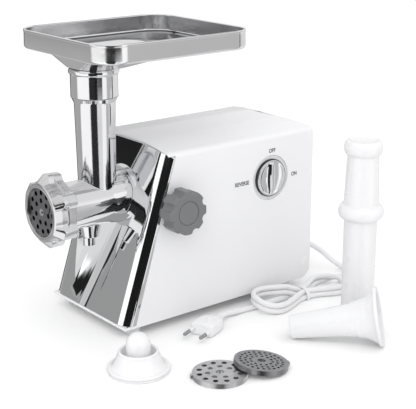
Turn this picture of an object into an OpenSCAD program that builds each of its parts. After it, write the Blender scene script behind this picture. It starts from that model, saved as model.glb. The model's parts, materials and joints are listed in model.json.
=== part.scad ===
// Electric meat grinder with its loose accessories, in millimetres.
// +Z is up, -X is the way the barrel points, -Y is the side with the switch.
// Each module is drawn about the feed tube's axis, and placed() then moves it so that the
// origin is on the table, below the middle of everything but the cord.

/* [Housing] */
// Width of the housing across its flat sides
body_w = 139; // [116:1:170]
// Height of the housing from its base line to its crown
body_h = 183; // [176:1:222]
// Length of the housing from the foot of the front plate to its back
body_len = 260; // [254:1:320]
// Distance that the foot of the front plate stands ahead of the feed tube
plate_ahead = 17; // [14:1:19]
// Distance that the front plate leans back over its height
plate_run = 61; // [56:1:66]
// Thickness of the moulded housing wall
wall = 2.6; // [2:0.1:3.2]
// Radius of the rounded back corners in side view
back_r = 14; // [8:1:18]
// Radius along the top side edges
shoulder_r = 7; // [4:0.5:10]
// Height of the feet below the base line
foot_h = 11; // [9:0.5:14]
// Radius of each foot
foot_r = 8; // [6.5:0.5:10]

/* [Front plate] */
// Thickness of the plated front cover
plate_t = 2; // [1.5:0.1:2.5]
// Depth of the cover's side returns at their foot
return_foot = 13.5; // [10:0.5:16]
// Depth of the cover's side returns at their head
return_head = 9; // [8.9:0.1:12]
// Width of the cover's rolled side edges
roll_w = 18; // [15:0.5:18]
// Large radius of the cover's rolled side edges
roll_r = 29; // [26:0.5:32]
// Small radius where a rolled edge meets its return
corner_r = 4; // [3.6:0.1:4.2]
// Radius of the scoop under the barrel
scoop_r = 56; // [50:1:60]
// Angle between the scoop and the plate
scoop_tilt = 12.4; // [10:0.2:13]
// Distance that the scoop sits towards the far side
scoop_side = 12; // [0:1:14]

/* [Head] */
// Height of the barrel axis above the base line
axis_up = 121; // [118:1:126]
// Outer radius of the barrel
barrel_r = 25; // [24:0.5:26]
// Radius of the auger's bore
bore_r = 21.5; // [20:0.25:22]
// Radius of the cutting plates
disc_r = 27; // [26:0.5:27.5]
// Thickness of the cutting plates
disc_t = 6; // [5:0.5:7]
// Distance from the feed tube's axis to the cutting plate's face
barrel_reach = 67; // [64:1:76]
// Inner radius of the feed throat
throat_r = 17.6; // [16.5:0.1:18.5]
// Outer radius of the feed tube at its shoulder
tube_r = 21.2; // [20.8:0.1:22]
// Height of the tube's collar top above the barrel axis
tube_up = 140; // [136:1:150]
// Radius to the tips of the ring nut's wings
wing_r = 39; // [37:0.5:42]

/* [Tray] */
// Length of the tray along the machine
tray_len = 188; // [170:1:226]
// Width of the tray
tray_w = 167; // [150:1:200]
// Corner radius of the tray
tray_r = 22; // [16:1:28]
// Height of the tray's wall
tray_wall_h = 20; // [16:1:26]
// Height of the tray's rim above the tube's collar
rim_up = 35; // [33:1:46]
// Distance from the tray's front edge to the feed tube's axis
tray_front = 43; // [36:1:60]

/* [Controls] */
// Radius of the rotary switch
dial_r = 20; // [17:0.5:23]
// Distance from the switch's axis to the back of the housing
dial_back = 63; // [55:1:76]
// Height of the switch above the barrel axis
dial_up = 8; // [0:1:12]
// Radius of the locking knob
knob_r = 24.5; // [22:0.5:26]
// Distance of the locking knob behind the feed tube
knob_x = 46; // [45:0.5:48]

/* [Drive] */
// Module of the slow gear pair
slow_module = 1.25; // [1.2:0.05:1.3]
// Module of the fast gear pair
fast_module = 0.8; // [0.75:0.05:0.85]
// Teeth on both pinions
pinion_teeth = 12; // [12:1:13]
// Teeth on the idler wheel
idler_teeth = 66; // [60:6:66]
// Teeth on the output gear
output_teeth = 60; // [60:12:60]
// Radius of the motor's armature
rotor_r = 18; // [16:0.5:20]
// Length of the motor's core
core_len = 50; // [40:1:56]

/* [Accessories] */
// Height of the pusher
pusher_h = 198; // [180:1:238]
// Outer radius of the sausage tube's wide end
funnel_r = 31; // [27:0.5:34]
// Length of the sausage tube
funnel_len = 92; // [80:1:110]
// Outer radius of the kebbe cone's base
kebbe_r = 30.5; // [27:0.5:34]

/* [Cord] */
// Diameter of the cord
cord_d = 6.2; // [6:0.1:6.6]

/* [Hidden] */
$fn = 96;

gap = 0.3;          // clearance between pieces that come apart
run_fit = 0.06;     // radial clearance of a shaft in its bearing
half_w = body_w / 2;
base_z = foot_h;
top_z = foot_h + body_h;
axis_z = foot_h + axis_up;
front_x = -plate_ahead;
back_x = front_x + body_len;
lean = atan(plate_run / body_h);
crown_drop = 6;
crown_lift = 0.6;
crown_r = (half_w * half_w + crown_drop * crown_drop) / (2 * crown_drop);

// Places along the barrel axis
disc_face = -barrel_reach;
disc_back = disc_face + disc_t;
knife_t = 8;
knife_back = disc_back + knife_t;
mouth_x = disc_face + 0.5;
mouth_r = disc_r + 3;
seat_x = 28;
flange_r = 27.5;
neck_end = 62;
socket_r = 33;
sleeve_t = 3.7;
auger_back = 38;
rear_wall_x = 40;
tail_flats = 14;
shaft_r = 10;

// Gearbox
gear_x = 69;
slow_w = 13;
fast_x = 85;
fast_w = 8;
cover_x = 63;
cover_t = 3;
case_back = 98;
slow_span = slow_module * (pinion_teeth + output_teeth) / 2;
fast_span = fast_module * (pinion_teeth + idler_teeth) / 2;
idler_z = axis_z - slow_span;
motor_z = idler_z - fast_span;
coupling_r = 12;
idler_pin_r = 4;
spindle_r = 2.5;
pressure_angle = 25;
tooth_slack = 0.16;

// Motor
frame_x = 103;
frame_t = 3;
core_x = 122;
core_r = rotor_r + 0.5;
comm_x = core_x + core_len + 13;
comm_len = 13;
comm_r = 11;
tail_frame_x = comm_x + comm_len + 5;
frame_half = 26;

// Controls
dial_x = back_x - dial_back;
dial_z = axis_z + dial_up;
dial_pocket = 2;
dial_pocket_r = dial_r + 5;
insert_r = 8;
bolt_r = 5;
knob_face = half_w + 27;
knob_t = 19;
post_r = 5;
post_h = 14;
post_web = 3;
foot_in = 14.5;
foot_front = 2;
foot_back = back_x - 30;
screw_r = 1.95;
rim_z = axis_z + tube_up + rim_up;
pan_z = rim_z - tray_wall_h;
tray_t = 1.2;
spout_r = tube_r + 0.5;
cup_r = tube_r + 3.05;
cup_z = axis_z + tube_up - 29;
collar_z = axis_z + tube_up;
spout_t = 1.5;
spout_depth = 19;

// Accessories lie on the table near the switch side
pusher_at = [211, -176];
funnel_at = [122, -168];
funnel_turn = -49;
kebbe_at = [-45, -133];
coarse_at = [8, -192];
fine_at = [50, -203];
spare_t = 5;
kebbe_h = 22;
recess_z = 13;
former_r = 12;
stem_r = 7.2;

// Cord
gland_y = -22;
gland_z = base_z + 23;
gland_len = 24;
cord_r = cord_d / 2;
lead_points = [[255, -22, 34], [268, -22, 34], [278, -24, 32], [288, -28, 27], [297, -36, 19],
               [302, -46, 11], [305, -58, 6], [304, -69, 4], [300, -79, 3.3], [293, -87, 3.3],
               [284, -93, 3.3], [272, -96, 3.3]];
tail_points = [[142, -87, 3.3], [132, -86, 3.3], [122, -86, 3.8], [112, -86.5, 5], [102, -88, 6.3],
               [93, -91, 7], [85, -94.2, 7]];
hank_x = [138, 276];
hank_y = -95;
hank_w = 46;
hank_h = 18.6;
tie_x = 208;
plug_at = [88, -93];
plug_turn = 201.7;
plug_len = 38;

// Middle of the machine and its accessories, seen from above
funnel_tip_r = 12.5;
funnel_lie = atan((funnel_r - funnel_tip_r) / funnel_len);
funnel_mouth_y = funnel_at[1] + funnel_len * cos(funnel_lie) * sin(funnel_turn);
funnel_spread = (funnel_r - 0.5) * sqrt(1 - pow(cos(funnel_lie) * sin(funnel_turn), 2));
x_low = min(disc_face - 3, -tray_front);
x_high = max(back_x, tray_len - tray_front);
y_low = funnel_mouth_y - funnel_spread;
y_high = max(body_w, tray_w) / 2;

module placed() { translate([-(x_low + x_high) / 2, -(y_low + y_high) / 2, 0]) children(); }

// Runs a shape that is drawn along Z so that it points along +X at the barrel's height
module along_x(x) { translate([x, 0, axis_z]) rotate([0, 90, 0]) children(); }

// Turns an outline in (Y, Z) into a slab that runs along X
module slab_x(x, t) { translate([x, 0, 0]) rotate([90, 0, 90]) linear_extrude(t) children(); }

// Turns an outline in (X, Z) into a slab that is centred across Y
module slab_y(t) { rotate([90, 0, 0]) linear_extrude(t, center = true) children(); }

// Stands a shape on the housing's switch side, pointing outwards
module on_side(x, z, y) { translate([x, -y, z]) rotate([90, 0, 0]) children(); }

// Puts a shape in the front plate's own frame: Z runs up the slope and X goes inwards
module on_front() { translate([front_x, 0, base_z]) rotate([0, lean, 0]) children(); }

module tube(r_out, r_in, h) {
  difference() {
    cylinder(r = r_out, h = h);
    translate([0, 0, -1]) cylinder(r = r_in, h = h + 2);
  }
}

module rounded_rect(l, w, r) {
  square([l, w - 2 * r], center = true);
  square([l - 2 * r, w], center = true);
  for (sx = [-1, 1], sy = [-1, 1]) translate([sx * (l / 2 - r), sy * (w / 2 - r)]) circle(r);
}

// ---------------------------------------------------------------- housing

module side_profile(inset) {
  r = back_r - inset;
  bottom = base_z + inset;
  top = top_z + 1;
  x1 = back_x - inset;
  polygon([[front_x, bottom], [x1 - r, bottom], [x1 - r, top], [front_x + plate_run + 0.34, top]]);
  translate([x1 - 2 * r, bottom + r]) square([2 * r, top_z - inset - bottom - 2 * r]);
  translate([x1 - r, bottom + r]) circle(r);
  translate([x1 - r, top_z - inset - r]) circle(r);
}

module cross_profile(side_inset, top_inset) {
  w = half_w - side_inset;
  r = shoulder_r - min(side_inset, 3);
  top = top_z - top_inset;
  arc_z = top + crown_lift - crown_r;
  edge = arc_z + sqrt(crown_r * crown_r - (w - r) * (w - r));
  translate([-w, base_z - 1]) square([2 * w, edge - r - base_z + 1]);
  translate([-(w - r), base_z]) square([2 * (w - r), edge - base_z]);
  for (s = [-1, 1])
    translate([s * (w - r), edge - r]) circle(r);
  intersection() {
    translate([-(w - r), edge - 4]) square([2 * (w - r), top - edge + 4]);
    translate([0, arc_z]) circle(crown_r, $fn = 360);
  }
}

module body_block(inset) {
  intersection() {
    slab_y(body_w + 10) side_profile(inset);
    slab_x(front_x - 1, body_len + 2) cross_profile(inset, inset);
  }
}

module plate_pocket(depth, low, high) {
  intersection() {
    on_front() translate([-20, -half_w - 5, -10]) cube([20 + depth, body_w + 10, body_h * 1.3]);
    translate([front_x - 30, -half_w - 6, low]) cube([body_len, body_w + 12, high - low]);
  }
}

// The front of the housing, back to the line where the cover's returns end
module return_zone(grow, low, high) {
  slope = (plate_run + return_head - return_foot) / body_h;
  start = front_x + return_foot + grow;
  slab_y(body_w + 12)
    polygon([[front_x - 30, low], [start + slope * (low - base_z), low],
             [start + slope * (high - base_z), high], [front_x - 30, high]]);
}

// Screw posts, each with a web that ties it to the rim of the housing
module corner_posts() {
  for (x = [foot_front, foot_back], s = [-1, 1]) {
    translate([x, s * (half_w - foot_in), base_z + wall]) cylinder(r = post_r, h = post_h);
    translate([x, s * (half_w - foot_in / 2 - 0.5), base_z + wall + post_h / 2])
      cube([post_web, foot_in, post_h], center = true);
  }
}

module housing() {
  lip = wall + 0.2;
  color("white") difference() {
    union() {
      difference() {
        body_block(0);
        body_block(wall);
        return_zone(0.2, base_z + lip, top_z - crown_drop - 12);
        intersection() {
          return_zone(gap, base_z + 30, top_z + 10);
          slab_x(front_x - 1, body_len + 2) cross_profile(-5, lip);
        }
        translate([front_x + 6, -half_w + 5, base_z - 1]) cube([body_len - 24, body_w - 10, wall + 2]);
      }
      difference() {
        intersection() {
          corner_posts();
          body_block(wall / 2);
        }
        intersection() {
          return_zone(gap, base_z, base_z + 3 * post_h);
          for (s = [-1, 1]) translate([front_x, s * half_w - plate_t - gap, base_z])
            cube([3 * post_h, 2 * (plate_t + gap), 3 * post_h]);
        }
      }
      on_side(dial_x, dial_z, half_w - wall - 2) cylinder(r = dial_pocket_r + 3, h = 2 + wall / 2);
    }
    for (x = [foot_front, foot_back], s = [-1, 1])
      translate([x, s * (half_w - foot_in), base_z]) cylinder(r = screw_r + 0.05, h = 16);
    on_side(dial_x, dial_z, half_w - dial_pocket) cylinder(r = dial_pocket_r, h = 10);
    on_side(dial_x, dial_z, half_w - 20) cylinder(r = 4.4, h = 30);
    on_side(knob_x, axis_z, half_w - 20) cylinder(r = insert_r + 0.1, h = 30);
    translate([back_x - 10, gland_y, gland_z]) rotate([0, 90, 0]) cylinder(r = 5.2, h = 20);
  }
}

// The front plate's outline from above: flat, then a wide and a tight arc down to each return
module cover_section(inset) {
  section_d = 24;
  flat_w = half_w - roll_w;
  turn = asin((roll_w - corner_r) / (roll_r - corner_r));
  corner_x = roll_r - (roll_r - corner_r) * cos(turn);
  arc_w = flat_w + (roll_r - inset) * sin(turn);
  translate([inset, -flat_w]) square([section_d, 2 * flat_w]);
  translate([corner_x, inset - half_w]) square([section_d - corner_x + inset, body_w - 2 * inset]);
  for (s = [-1, 1]) {
    translate([corner_x, s * (half_w - corner_r)]) circle(corner_r - inset);
    intersection() {
      translate([roll_r, s * flat_w]) circle(roll_r - inset);
      translate([0, -arc_w]) square([section_d, 2 * arc_w]);
    }
  }
}

module scoop(grow, ceiling) {
  intersection() {
    on_front() translate([-scoop_r, scoop_side, 7.4]) rotate([0, scoop_tilt, 0]) translate([0, 0, -60])
      cylinder(r = scoop_r + grow, h = body_h + 100, $fn = 180);
    plate_pocket(80, base_z - 5, ceiling);
  }
}

module front_plate() {
  low = base_z + wall + 0.2;
  ceiling = axis_z - 12.5;
  color("silver") difference() {
    union() {
      difference() {
        intersection() {
          on_front() translate([0, 0, -10]) linear_extrude(body_h * 1.25) difference() {
            cover_section(0);
            cover_section(plate_t);
          }
          return_zone(0, low, top_z + 5);
          slab_x(front_x - 20, 120) cross_profile(-1, wall + 0.3);
          translate([front_x - 30, -half_w - 1, low]) cube([200, body_w + 2, body_h]);
        }
        scoop(0, ceiling);
      }
      difference() {
        intersection() {
          scoop(plate_t, ceiling + plate_t);
          on_front() translate([0.01, -half_w, 0]) cube([90, body_w, body_h]);
          translate([front_x, -half_w + 4, low]) cube([200, body_w - 8, body_h]);
        }
        scoop(0, ceiling);
      }
      along_x(seat_x) cylinder(r = socket_r, h = 30);
    }
    along_x(front_x) cylinder(r = flange_r + gap, h = seat_x - front_x);
    along_x(seat_x - 1) cylinder(r = barrel_r + gap, h = 50);
    along_x(seat_x + 4) cylinder(r = barrel_r + gap + sleeve_t, h = 50);
    on_side(knob_x, axis_z, barrel_r) cylinder(r = insert_r + 0.5, h = half_w);
  }
}

module base_plate() {
  color("whitesmoke") difference() {
    translate([front_x + 6 + gap, -half_w + 5 + gap, base_z])
      cube([body_len - 24 - 2 * gap, body_w - 10 - 2 * gap, wall]);
    for (x = [foot_front, foot_back], s = [-1, 1])
      translate([x, s * (half_w - foot_in), base_z - 1]) cylinder(r = screw_r + 0.3, h = 10);
    for (i = [0:6])
      translate([core_x + i * 9, -20, base_z - 1]) cube([3, 40, wall + 2]);
  }
}

module feet() {
  color("gainsboro") for (x = [foot_front, foot_back], s = [-1, 1])
    translate([x, s * (half_w - foot_in), 0]) difference() {
      union() {
        cylinder(r1 = foot_r - 1, r2 = foot_r, h = 2);
        translate([0, 0, 2]) cylinder(r = foot_r, h = foot_h - 2);
      }
      translate([0, 0, -1]) cylinder(r = 4.2, h = 6.5);
      cylinder(r = screw_r + 0.3, h = foot_h + 1);
    }
}

module base_screws() {
  color("silver") for (x = [foot_front, foot_back], s = [-1, 1])
    translate([x, s * (half_w - foot_in), 3]) {
      cylinder(r = 3.6, h = 2.5);
      translate([0, 0, 2]) cylinder(r = screw_r, h = foot_h + 8);
    }
}

// ---------------------------------------------------------------- gearbox and drive

function involute(a) = tan(a) * 180 / PI - a;

function gear_points(teeth, module_mm, turn) =
  let (pitch = teeth * module_mm / 2, base = pitch * cos(pressure_angle), tip = pitch + module_mm,
       root = pitch - 1.25 * module_mm, start = max(base, root) + 0.01,
       half = 90 / teeth - tooth_slack / 2 / pitch * 180 / PI,
       radii = [start, (start + pitch) / 2, pitch, (pitch + tip) / 2, tip],
       edge = [for (r = radii) half + involute(pressure_angle) - involute(acos(base / r))])
  [for (k = [0:teeth - 1]) let (mid = turn + 360 * k / teeth)
    for (p = concat([[root, mid - edge[0]]],
                    [for (i = [0:4]) [radii[i], mid - edge[i]]],
                    [for (i = [4:-1:0]) [radii[i], mid + edge[i]]],
                    [[root, mid + edge[0]]]))
      [p[0] * cos(p[1]), p[0] * sin(p[1])]];

module gear(teeth, module_mm, turn, t) {
  rotate([90, 0, 90]) linear_extrude(t) polygon(gear_points(teeth, module_mm, turn));
}

module gearbox_outline(inset) {
  output_r = slow_module * (output_teeth / 2 + 1) + 5 - inset;
  idler_r = fast_module * (idler_teeth / 2 + 1) + 4.5 - inset;
  translate([0, axis_z]) circle(output_r);
  translate([0, idler_z]) circle(idler_r);
  translate([0, motor_z]) circle(13 - inset);
  translate([-12 + inset, motor_z]) square([24 - 2 * inset, idler_z - motor_z]);
}

module gearbox_lugs(r) {
  for (s = [-1, 1]) {
    translate([s * 39, axis_z - 27]) circle(r);
    translate([s * 34, axis_z + 32]) circle(r);
  }
}

module neck_sleeve() {
  color("darkgray") difference() {
    along_x(seat_x + 7) tube(barrel_r + gap + sleeve_t - 0.02, barrel_r + gap, cover_x - seat_x - 7);
    on_side(knob_x, axis_z, barrel_r - 5) cylinder(r = bolt_r + 0.6, h = 15);
  }
}

module gearbox_case() {
  color("gray") difference() {
    slab_x(cover_x + cover_t, case_back - cover_x - cover_t) union() {
      gearbox_outline(0);
      gearbox_lugs(6);
    }
    slab_x(cover_x, case_back - cover_x - 3) gearbox_outline(3);
    along_x(case_back - 10) cylinder(r = 6 + run_fit, h = 20);
    translate([case_back - 10, 0, idler_z]) rotate([0, 90, 0]) cylinder(r = idler_pin_r, h = 20);
    translate([case_back - 10, 0, motor_z]) rotate([0, 90, 0]) cylinder(r = 5, h = 20);
    slab_x(cover_x, 20) gearbox_lugs(1.8);
  }
}

module gearbox_cover() {
  color("dimgray") difference() {
    slab_x(cover_x, cover_t) union() {
      gearbox_outline(0);
      gearbox_lugs(6);
    }
    along_x(cover_x - 1) cylinder(r = coupling_r + run_fit, h = 10);
    translate([cover_x - 1, 0, idler_z]) rotate([0, 90, 0]) cylinder(r = idler_pin_r, h = 10);
    slab_x(cover_x - 1, 6) gearbox_lugs(2);
  }
}

module gearbox_screws() {
  color("silver") {
    slab_x(cover_x - 2, 2) gearbox_lugs(3.2);
    slab_x(cover_x - 0.5, 16) gearbox_lugs(1.75);
  }
}

module output_gear() {
  color("white") difference() {
    translate([gear_x, 0, axis_z]) gear(output_teeth, slow_module, 0, slow_w);
    along_x(gear_x - 1) cylinder(r = coupling_r - 1, h = slow_w + 2);
  }
}

module output_coupling() {
  color("lightsteelblue") difference() {
    union() {
      along_x(cover_x) cylinder(r = coupling_r, h = gear_x - cover_x);
      along_x(gear_x - 0.5) cylinder(r = coupling_r - 1, h = slow_w + 3);
      along_x(gear_x + slow_w) cylinder(r = 6, h = case_back - gear_x - slow_w);
    }
    along_x(cover_x - 1) rotate([0, 0, 30])
      cylinder(r = (tail_flats / 2 + 0.25) / cos(30), h = 15, $fn = 6);
  }
}

module idler_gear() {
  color("ivory") difference() {
    translate([0, 0, idler_z]) union() {
      translate([gear_x, 0, 0]) gear(pinion_teeth, slow_module, 180 / pinion_teeth, fast_x - gear_x + 1);
      translate([fast_x, 0, 0]) gear(idler_teeth, fast_module, 0, fast_w);
    }
    translate([gear_x - 1, 0, idler_z]) rotate([0, 90, 0]) cylinder(r = idler_pin_r + run_fit, h = 30);
  }
}

module idler_shaft() {
  color("silver") translate([cover_x, 0, idler_z]) rotate([0, 90, 0])
    cylinder(r = idler_pin_r, h = case_back - cover_x);
}

// ---------------------------------------------------------------- motor

module on_motor(x) { translate([x, 0, motor_z]) rotate([0, 90, 0]) children(); }

module motor_frame() {
  floor_z = base_z + wall;
  wall_h = motor_z + 14 - floor_z;
  color("slategray") difference() {
    union() {
      for (x = [frame_x, tail_frame_x])
        translate([x, -frame_half, floor_z]) cube([frame_t, 2 * frame_half, wall_h]);
      translate([frame_x, -frame_half, floor_z])
        cube([tail_frame_x - frame_x + frame_t, 2 * frame_half, 2.5]);
      for (x = [core_x + 2, core_x + core_len - 6])
        translate([x, -14, floor_z]) cube([4, 28, motor_z - core_r - 11.5 - floor_z]);
    }
    on_motor(frame_x - 1) cylinder(r = 8, h = frame_t + 2);
    on_motor(tail_frame_x - 1) cylinder(r = 8, h = frame_t + 2);
  }
}

module motor_core() {
  color("darkslategray") difference() {
    translate([core_x, 0, motor_z]) rotate([90, 0, 90]) linear_extrude(core_len)
      rounded_rect(2 * core_r + 30, 2 * core_r + 23, 8);
    on_motor(core_x - 1) cylinder(r = core_r, h = core_len + 2);
    for (s = [-1, 1])
      translate([core_x - 1, s * (core_r + 4) - 4.5, motor_z - 14]) cube([core_len + 2, 9, 28]);
  }
}

module field_coils() {
  color("chocolate") for (s = [-1, 1])
    translate([core_x - 6, s * (core_r + 4.3) - 4, motor_z - 13.5]) difference() {
      cube([core_len + 12, 8, 27]);
      translate([6, -1, 7]) cube([core_len, 10, 13]);
    }
}

module rotor_core() {
  color("gray") difference() {
    on_motor(core_x) cylinder(r = rotor_r, h = core_len);
    on_motor(core_x - 1) cylinder(r = spindle_r + 1, h = core_len + 2);
    for (i = [0:11])
      translate([core_x - 1, 0, motor_z]) rotate([i * 30, 0, 0]) translate([0, -0.8, rotor_r - 3])
        cube([core_len + 2, 1.6, 5]);
  }
}

module rotor_shaft() {
  color("silver") {
    on_motor(fast_x) cylinder(r = spindle_r, h = tail_frame_x + 8 - fast_x);
    on_motor(frame_x + frame_t + 1) cylinder(r = spindle_r + 1, h = comm_x + comm_len - frame_x - frame_t);
  }
}

module rotor_windings() {
  winding_t = 7;
  color("peru") for (x = [core_x - winding_t, core_x + core_len])
    on_motor(x) tube(rotor_r - 4, spindle_r + 1, winding_t);
}

module commutator() {
  color("darkgoldenrod") difference() {
    on_motor(comm_x) tube(comm_r, spindle_r + 1, comm_len);
    for (i = [0:11])
      translate([comm_x - 1, 0, motor_z]) rotate([i * 30, 0, 0]) translate([0, -0.3, comm_r - 1.5])
        cube([comm_len + 2, 0.6, 3]);
  }
}

module motor_pinion() {
  color("silver") difference() {
    translate([fast_x, 0, motor_z]) gear(pinion_teeth, fast_module, 0, fast_w + 1);
    on_motor(fast_x - 1) cylinder(r = spindle_r, h = fast_w + 4);
  }
}

module cooling_fan() {
  color("black") on_motor(frame_x + frame_t + 2) {
    tube(6, spindle_r + 1, 6);
    difference() {
      tube(rotor_r + 5, spindle_r + 1, 1.5);
      for (i = [0:5]) rotate([0, 0, i * 60 + 30]) translate([11, 0, -1]) cylinder(r = 3, h = 4);
    }
    for (i = [0:7]) rotate([0, 0, i * 45]) translate([5.5, -0.6, 1]) cube([rotor_r - 1, 1.2, 5]);
  }
}

module motor_bearings() {
  color("silver") for (x = [frame_x, tail_frame_x])
    on_motor(x) tube(8, spindle_r + run_fit, frame_t);
}

module carbon_brushes() {
  color("black") for (s = [-1, 1])
    translate([comm_x + 3, s * (comm_r + 8) - 7.5, motor_z - 3]) cube([7, 15, 6]);
}

module brush_holders() {
  color("goldenrod") for (s = [-1, 1]) difference() {
    translate([comm_x + 1, s * (comm_r + 9.5) - 6.5, motor_z - 5])
      cube([tail_frame_x - comm_x - 1, 13, 10]);
    translate([comm_x + 3, s * (comm_r + 9.5) - 15, motor_z - 3]) cube([7, 30, 6]);
  }
}

// ---------------------------------------------------------------- controls

module switch_body() {
  color("black") difference() {
    on_side(dial_x, dial_z, half_w - wall - 22) translate([-14, -14, 0]) cube([28, 28, 20]);
    on_side(dial_x, dial_z, half_w - wall - 14) cylinder(r = 4 + run_fit, h = 20);
  }
}

module switch_dial() {
  color("silver") on_side(dial_x, dial_z, half_w - dial_pocket) {
    translate([0, 0, -12]) cylinder(r = 4, h = 13);
    translate([0, 0, 0.4]) cylinder(r = dial_r, h = 5.6);
    translate([0, 0, 6]) cylinder(r1 = dial_r, r2 = dial_r - 1, h = 1);
    intersection() {
      translate([-4.5, -dial_r, 5]) cube([9, 2 * dial_r, 9]);
      cylinder(r = dial_r - 0.8, h = 14);
    }
  }
}

module dial_seal() {
  color("black") on_side(dial_x, dial_z, half_w - dial_pocket) tube(dial_r + 1.5, dial_r + gap, 1);
}

module lock_insert() {
  color("lightgray") on_side(knob_x, axis_z, half_w - 22) difference() {
    union() {
      cylinder(r = insert_r, h = 24.5);
      translate([0, 0, 22]) cylinder(r = insert_r + 3, h = 2.5);
    }
    translate([0, 0, -1]) cylinder(r = bolt_r + run_fit, h = 30);
  }
}

module lock_knob() {
  pad_room = 6;
  scallop_r = 5.2;
  bolt_start = barrel_r + pad_room;
  color("gray") on_side(knob_x, axis_z, knob_face - knob_t) {
    difference() {
      union() {
        cylinder(r1 = knob_r - 1.5, r2 = knob_r, h = 1.5);
        translate([0, 0, 1.5]) cylinder(r = knob_r, h = knob_t - 3);
        translate([0, 0, knob_t - 1.5]) cylinder(r1 = knob_r, r2 = knob_r - 1.5, h = 1.5);
      }
      for (i = [0:7]) rotate([0, 0, i * 45 + 22.5]) translate([knob_r + 2.5, 0, -1])
        cylinder(r = scallop_r, h = knob_t + 2);
      translate([0, 0, knob_t - 1.2]) cylinder(r = knob_r - 12, h = 3);
    }
    translate([0, 0, -1]) cylinder(r = bolt_r + 2.5, h = 2);
    translate([0, 0, bolt_start - knob_face + knob_t])
      cylinder(r = bolt_r, h = knob_face - knob_t - bolt_start + 1);
  }
}

module lock_pad() {
  color("black") on_side(knob_x, axis_z, barrel_r + gap / 2) cylinder(r = bolt_r, h = 6 - gap);
}

// ---------------------------------------------------------------- grinding head

module head_body() {
  along_x(mouth_x) cylinder(r = mouth_r, h = 19);
  along_x(mouth_x + 19) cylinder(r1 = mouth_r, r2 = barrel_r, h = 5);
  along_x(mouth_x + 20) cylinder(r = barrel_r, h = neck_end - mouth_x - 20);
  along_x(4) cylinder(r1 = barrel_r, r2 = flange_r, h = seat_x - 4 - 5);
  along_x(seat_x - 5) cylinder(r = flange_r, h = 4.8);
  translate([0, 0, axis_z]) cylinder(r1 = tube_r - 1.8, r2 = tube_r, h = tube_up - 35);
  translate([0, 0, cup_z - 6.01]) cylinder(r1 = tube_r, r2 = cup_r, h = 6.02);
  translate([0, 0, cup_z]) cylinder(r = cup_r, h = 29);
  translate([0, 0, cup_z + 23]) cylinder(r1 = cup_r, r2 = cup_r + 1.6, h = 1.5);
  translate([0, 0, cup_z + 24.5]) cylinder(r = cup_r + 1.6, h = 3);
  translate([0, 0, cup_z + 27.5]) cylinder(r1 = cup_r + 1.6, r2 = cup_r, h = 1.5);
  translate([-10, 0, axis_z - barrel_r - 12]) cylinder(r1 = 9, r2 = 13, h = 18);
  translate([-12, 0, axis_z - barrel_r - 21]) cylinder(r = 6.5, h = 12);
}

module head_casting() {
  color("lightgray") difference() {
    head_body();
    along_x(mouth_x - 1) cylinder(r = disc_r + gap, h = knife_back + gap - mouth_x + 1);
    along_x(mouth_x) cylinder(r = bore_r, h = rear_wall_x - mouth_x);
    along_x(rear_wall_x - 1) cylinder(r = shaft_r + run_fit, h = neck_end);
    translate([0, 0, axis_z]) cylinder(r = throat_r, h = tube_up);
    translate([0, 0, cup_z]) cylinder(r = spout_r + gap, h = 40);
  }
}

module flight_outline() {
  circle(9);
  intersection() {
    circle(bore_r - 0.7);
    polygon([[0, 0], [40, -15], [40, 15]]);
  }
}

module auger_screw() {
  flight_len = auger_back - knife_back - 1;
  flight_turn = 760;
  color("gainsboro") difference() {
    along_x(knife_back + 0.3) linear_extrude(flight_len, twist = -flight_turn, slices = 66)
      flight_outline($fn = 40);
    along_x(knife_back - 1) cylinder(r = 5, h = flight_len + 4);
  }
}

module auger_shaft() {
  color("silver") {
    along_x(disc_face - 0.5) cylinder(r = 3.9, h = disc_t + 2);
    along_x(disc_back + 0.5) rotate([0, 0, 45]) cylinder(r = 5.6, h = knife_t, $fn = 4);
    along_x(knife_back + 0.3) cylinder(r = 5, h = auger_back - knife_back);
    along_x(auger_back - 0.7) cylinder(r = shaft_r, h = neck_end - auger_back + 0.7);
    along_x(neck_end - 1) rotate([0, 0, 30]) cylinder(r = tail_flats / 2 / cos(30), h = 13, $fn = 6);
  }
}

module thrust_washer() {
  color("white") along_x(auger_back + 0.2)
    tube(bore_r - 3, shaft_r + run_fit, rear_wall_x - auger_back - 0.2);
}

module cutting_knife() {
  color("silver") along_x(disc_back + 0.2) difference() {
    union() {
      cylinder(r = 9, h = knife_t - 0.6);
      intersection() {
        for (i = [0:3]) rotate([0, 0, i * 90 + 20]) translate([0, -4, 0]) cube([40, 8, 4]);
        cylinder(r = disc_r - 2, h = 10);
      }
    }
    rotate([0, 0, 45]) translate([0, 0, -1]) cylinder(r = 5.75, h = 20, $fn = 4);
  }
}

// A cutting plate that stands up from its back face, with rings of holes and a key
module perforated_disc(t, rings, centre_r) {
  difference() {
    cylinder(r = disc_r - gap / 2, h = t);
    translate([0, 0, -1]) cylinder(r = centre_r, h = t + 2);
    for (ring = rings, i = [0:ring[1] - 1])
      rotate([0, 0, (i + ring[3]) * 360 / ring[1]]) translate([ring[0], 0, -1])
        cylinder(r = ring[2], h = t + 2, $fn = 24);
  }
}

// Each ring of holes gives its radius, its count, the hole radius and its turn in steps
coarse_rings = [[12, 7, 2.6, 0], [20.3, 12, 2.6, 0.3]];
fine_rings = [[10.8, 12, 1.5, 0], [15.8, 18, 1.5, 0.3], [20.8, 24, 1.5, 0.6]];

module cutting_plate() {
  color("dimgray") along_x(disc_face) rotate([0, 0, 20]) perforated_disc(disc_t, coarse_rings, 4);
}

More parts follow.
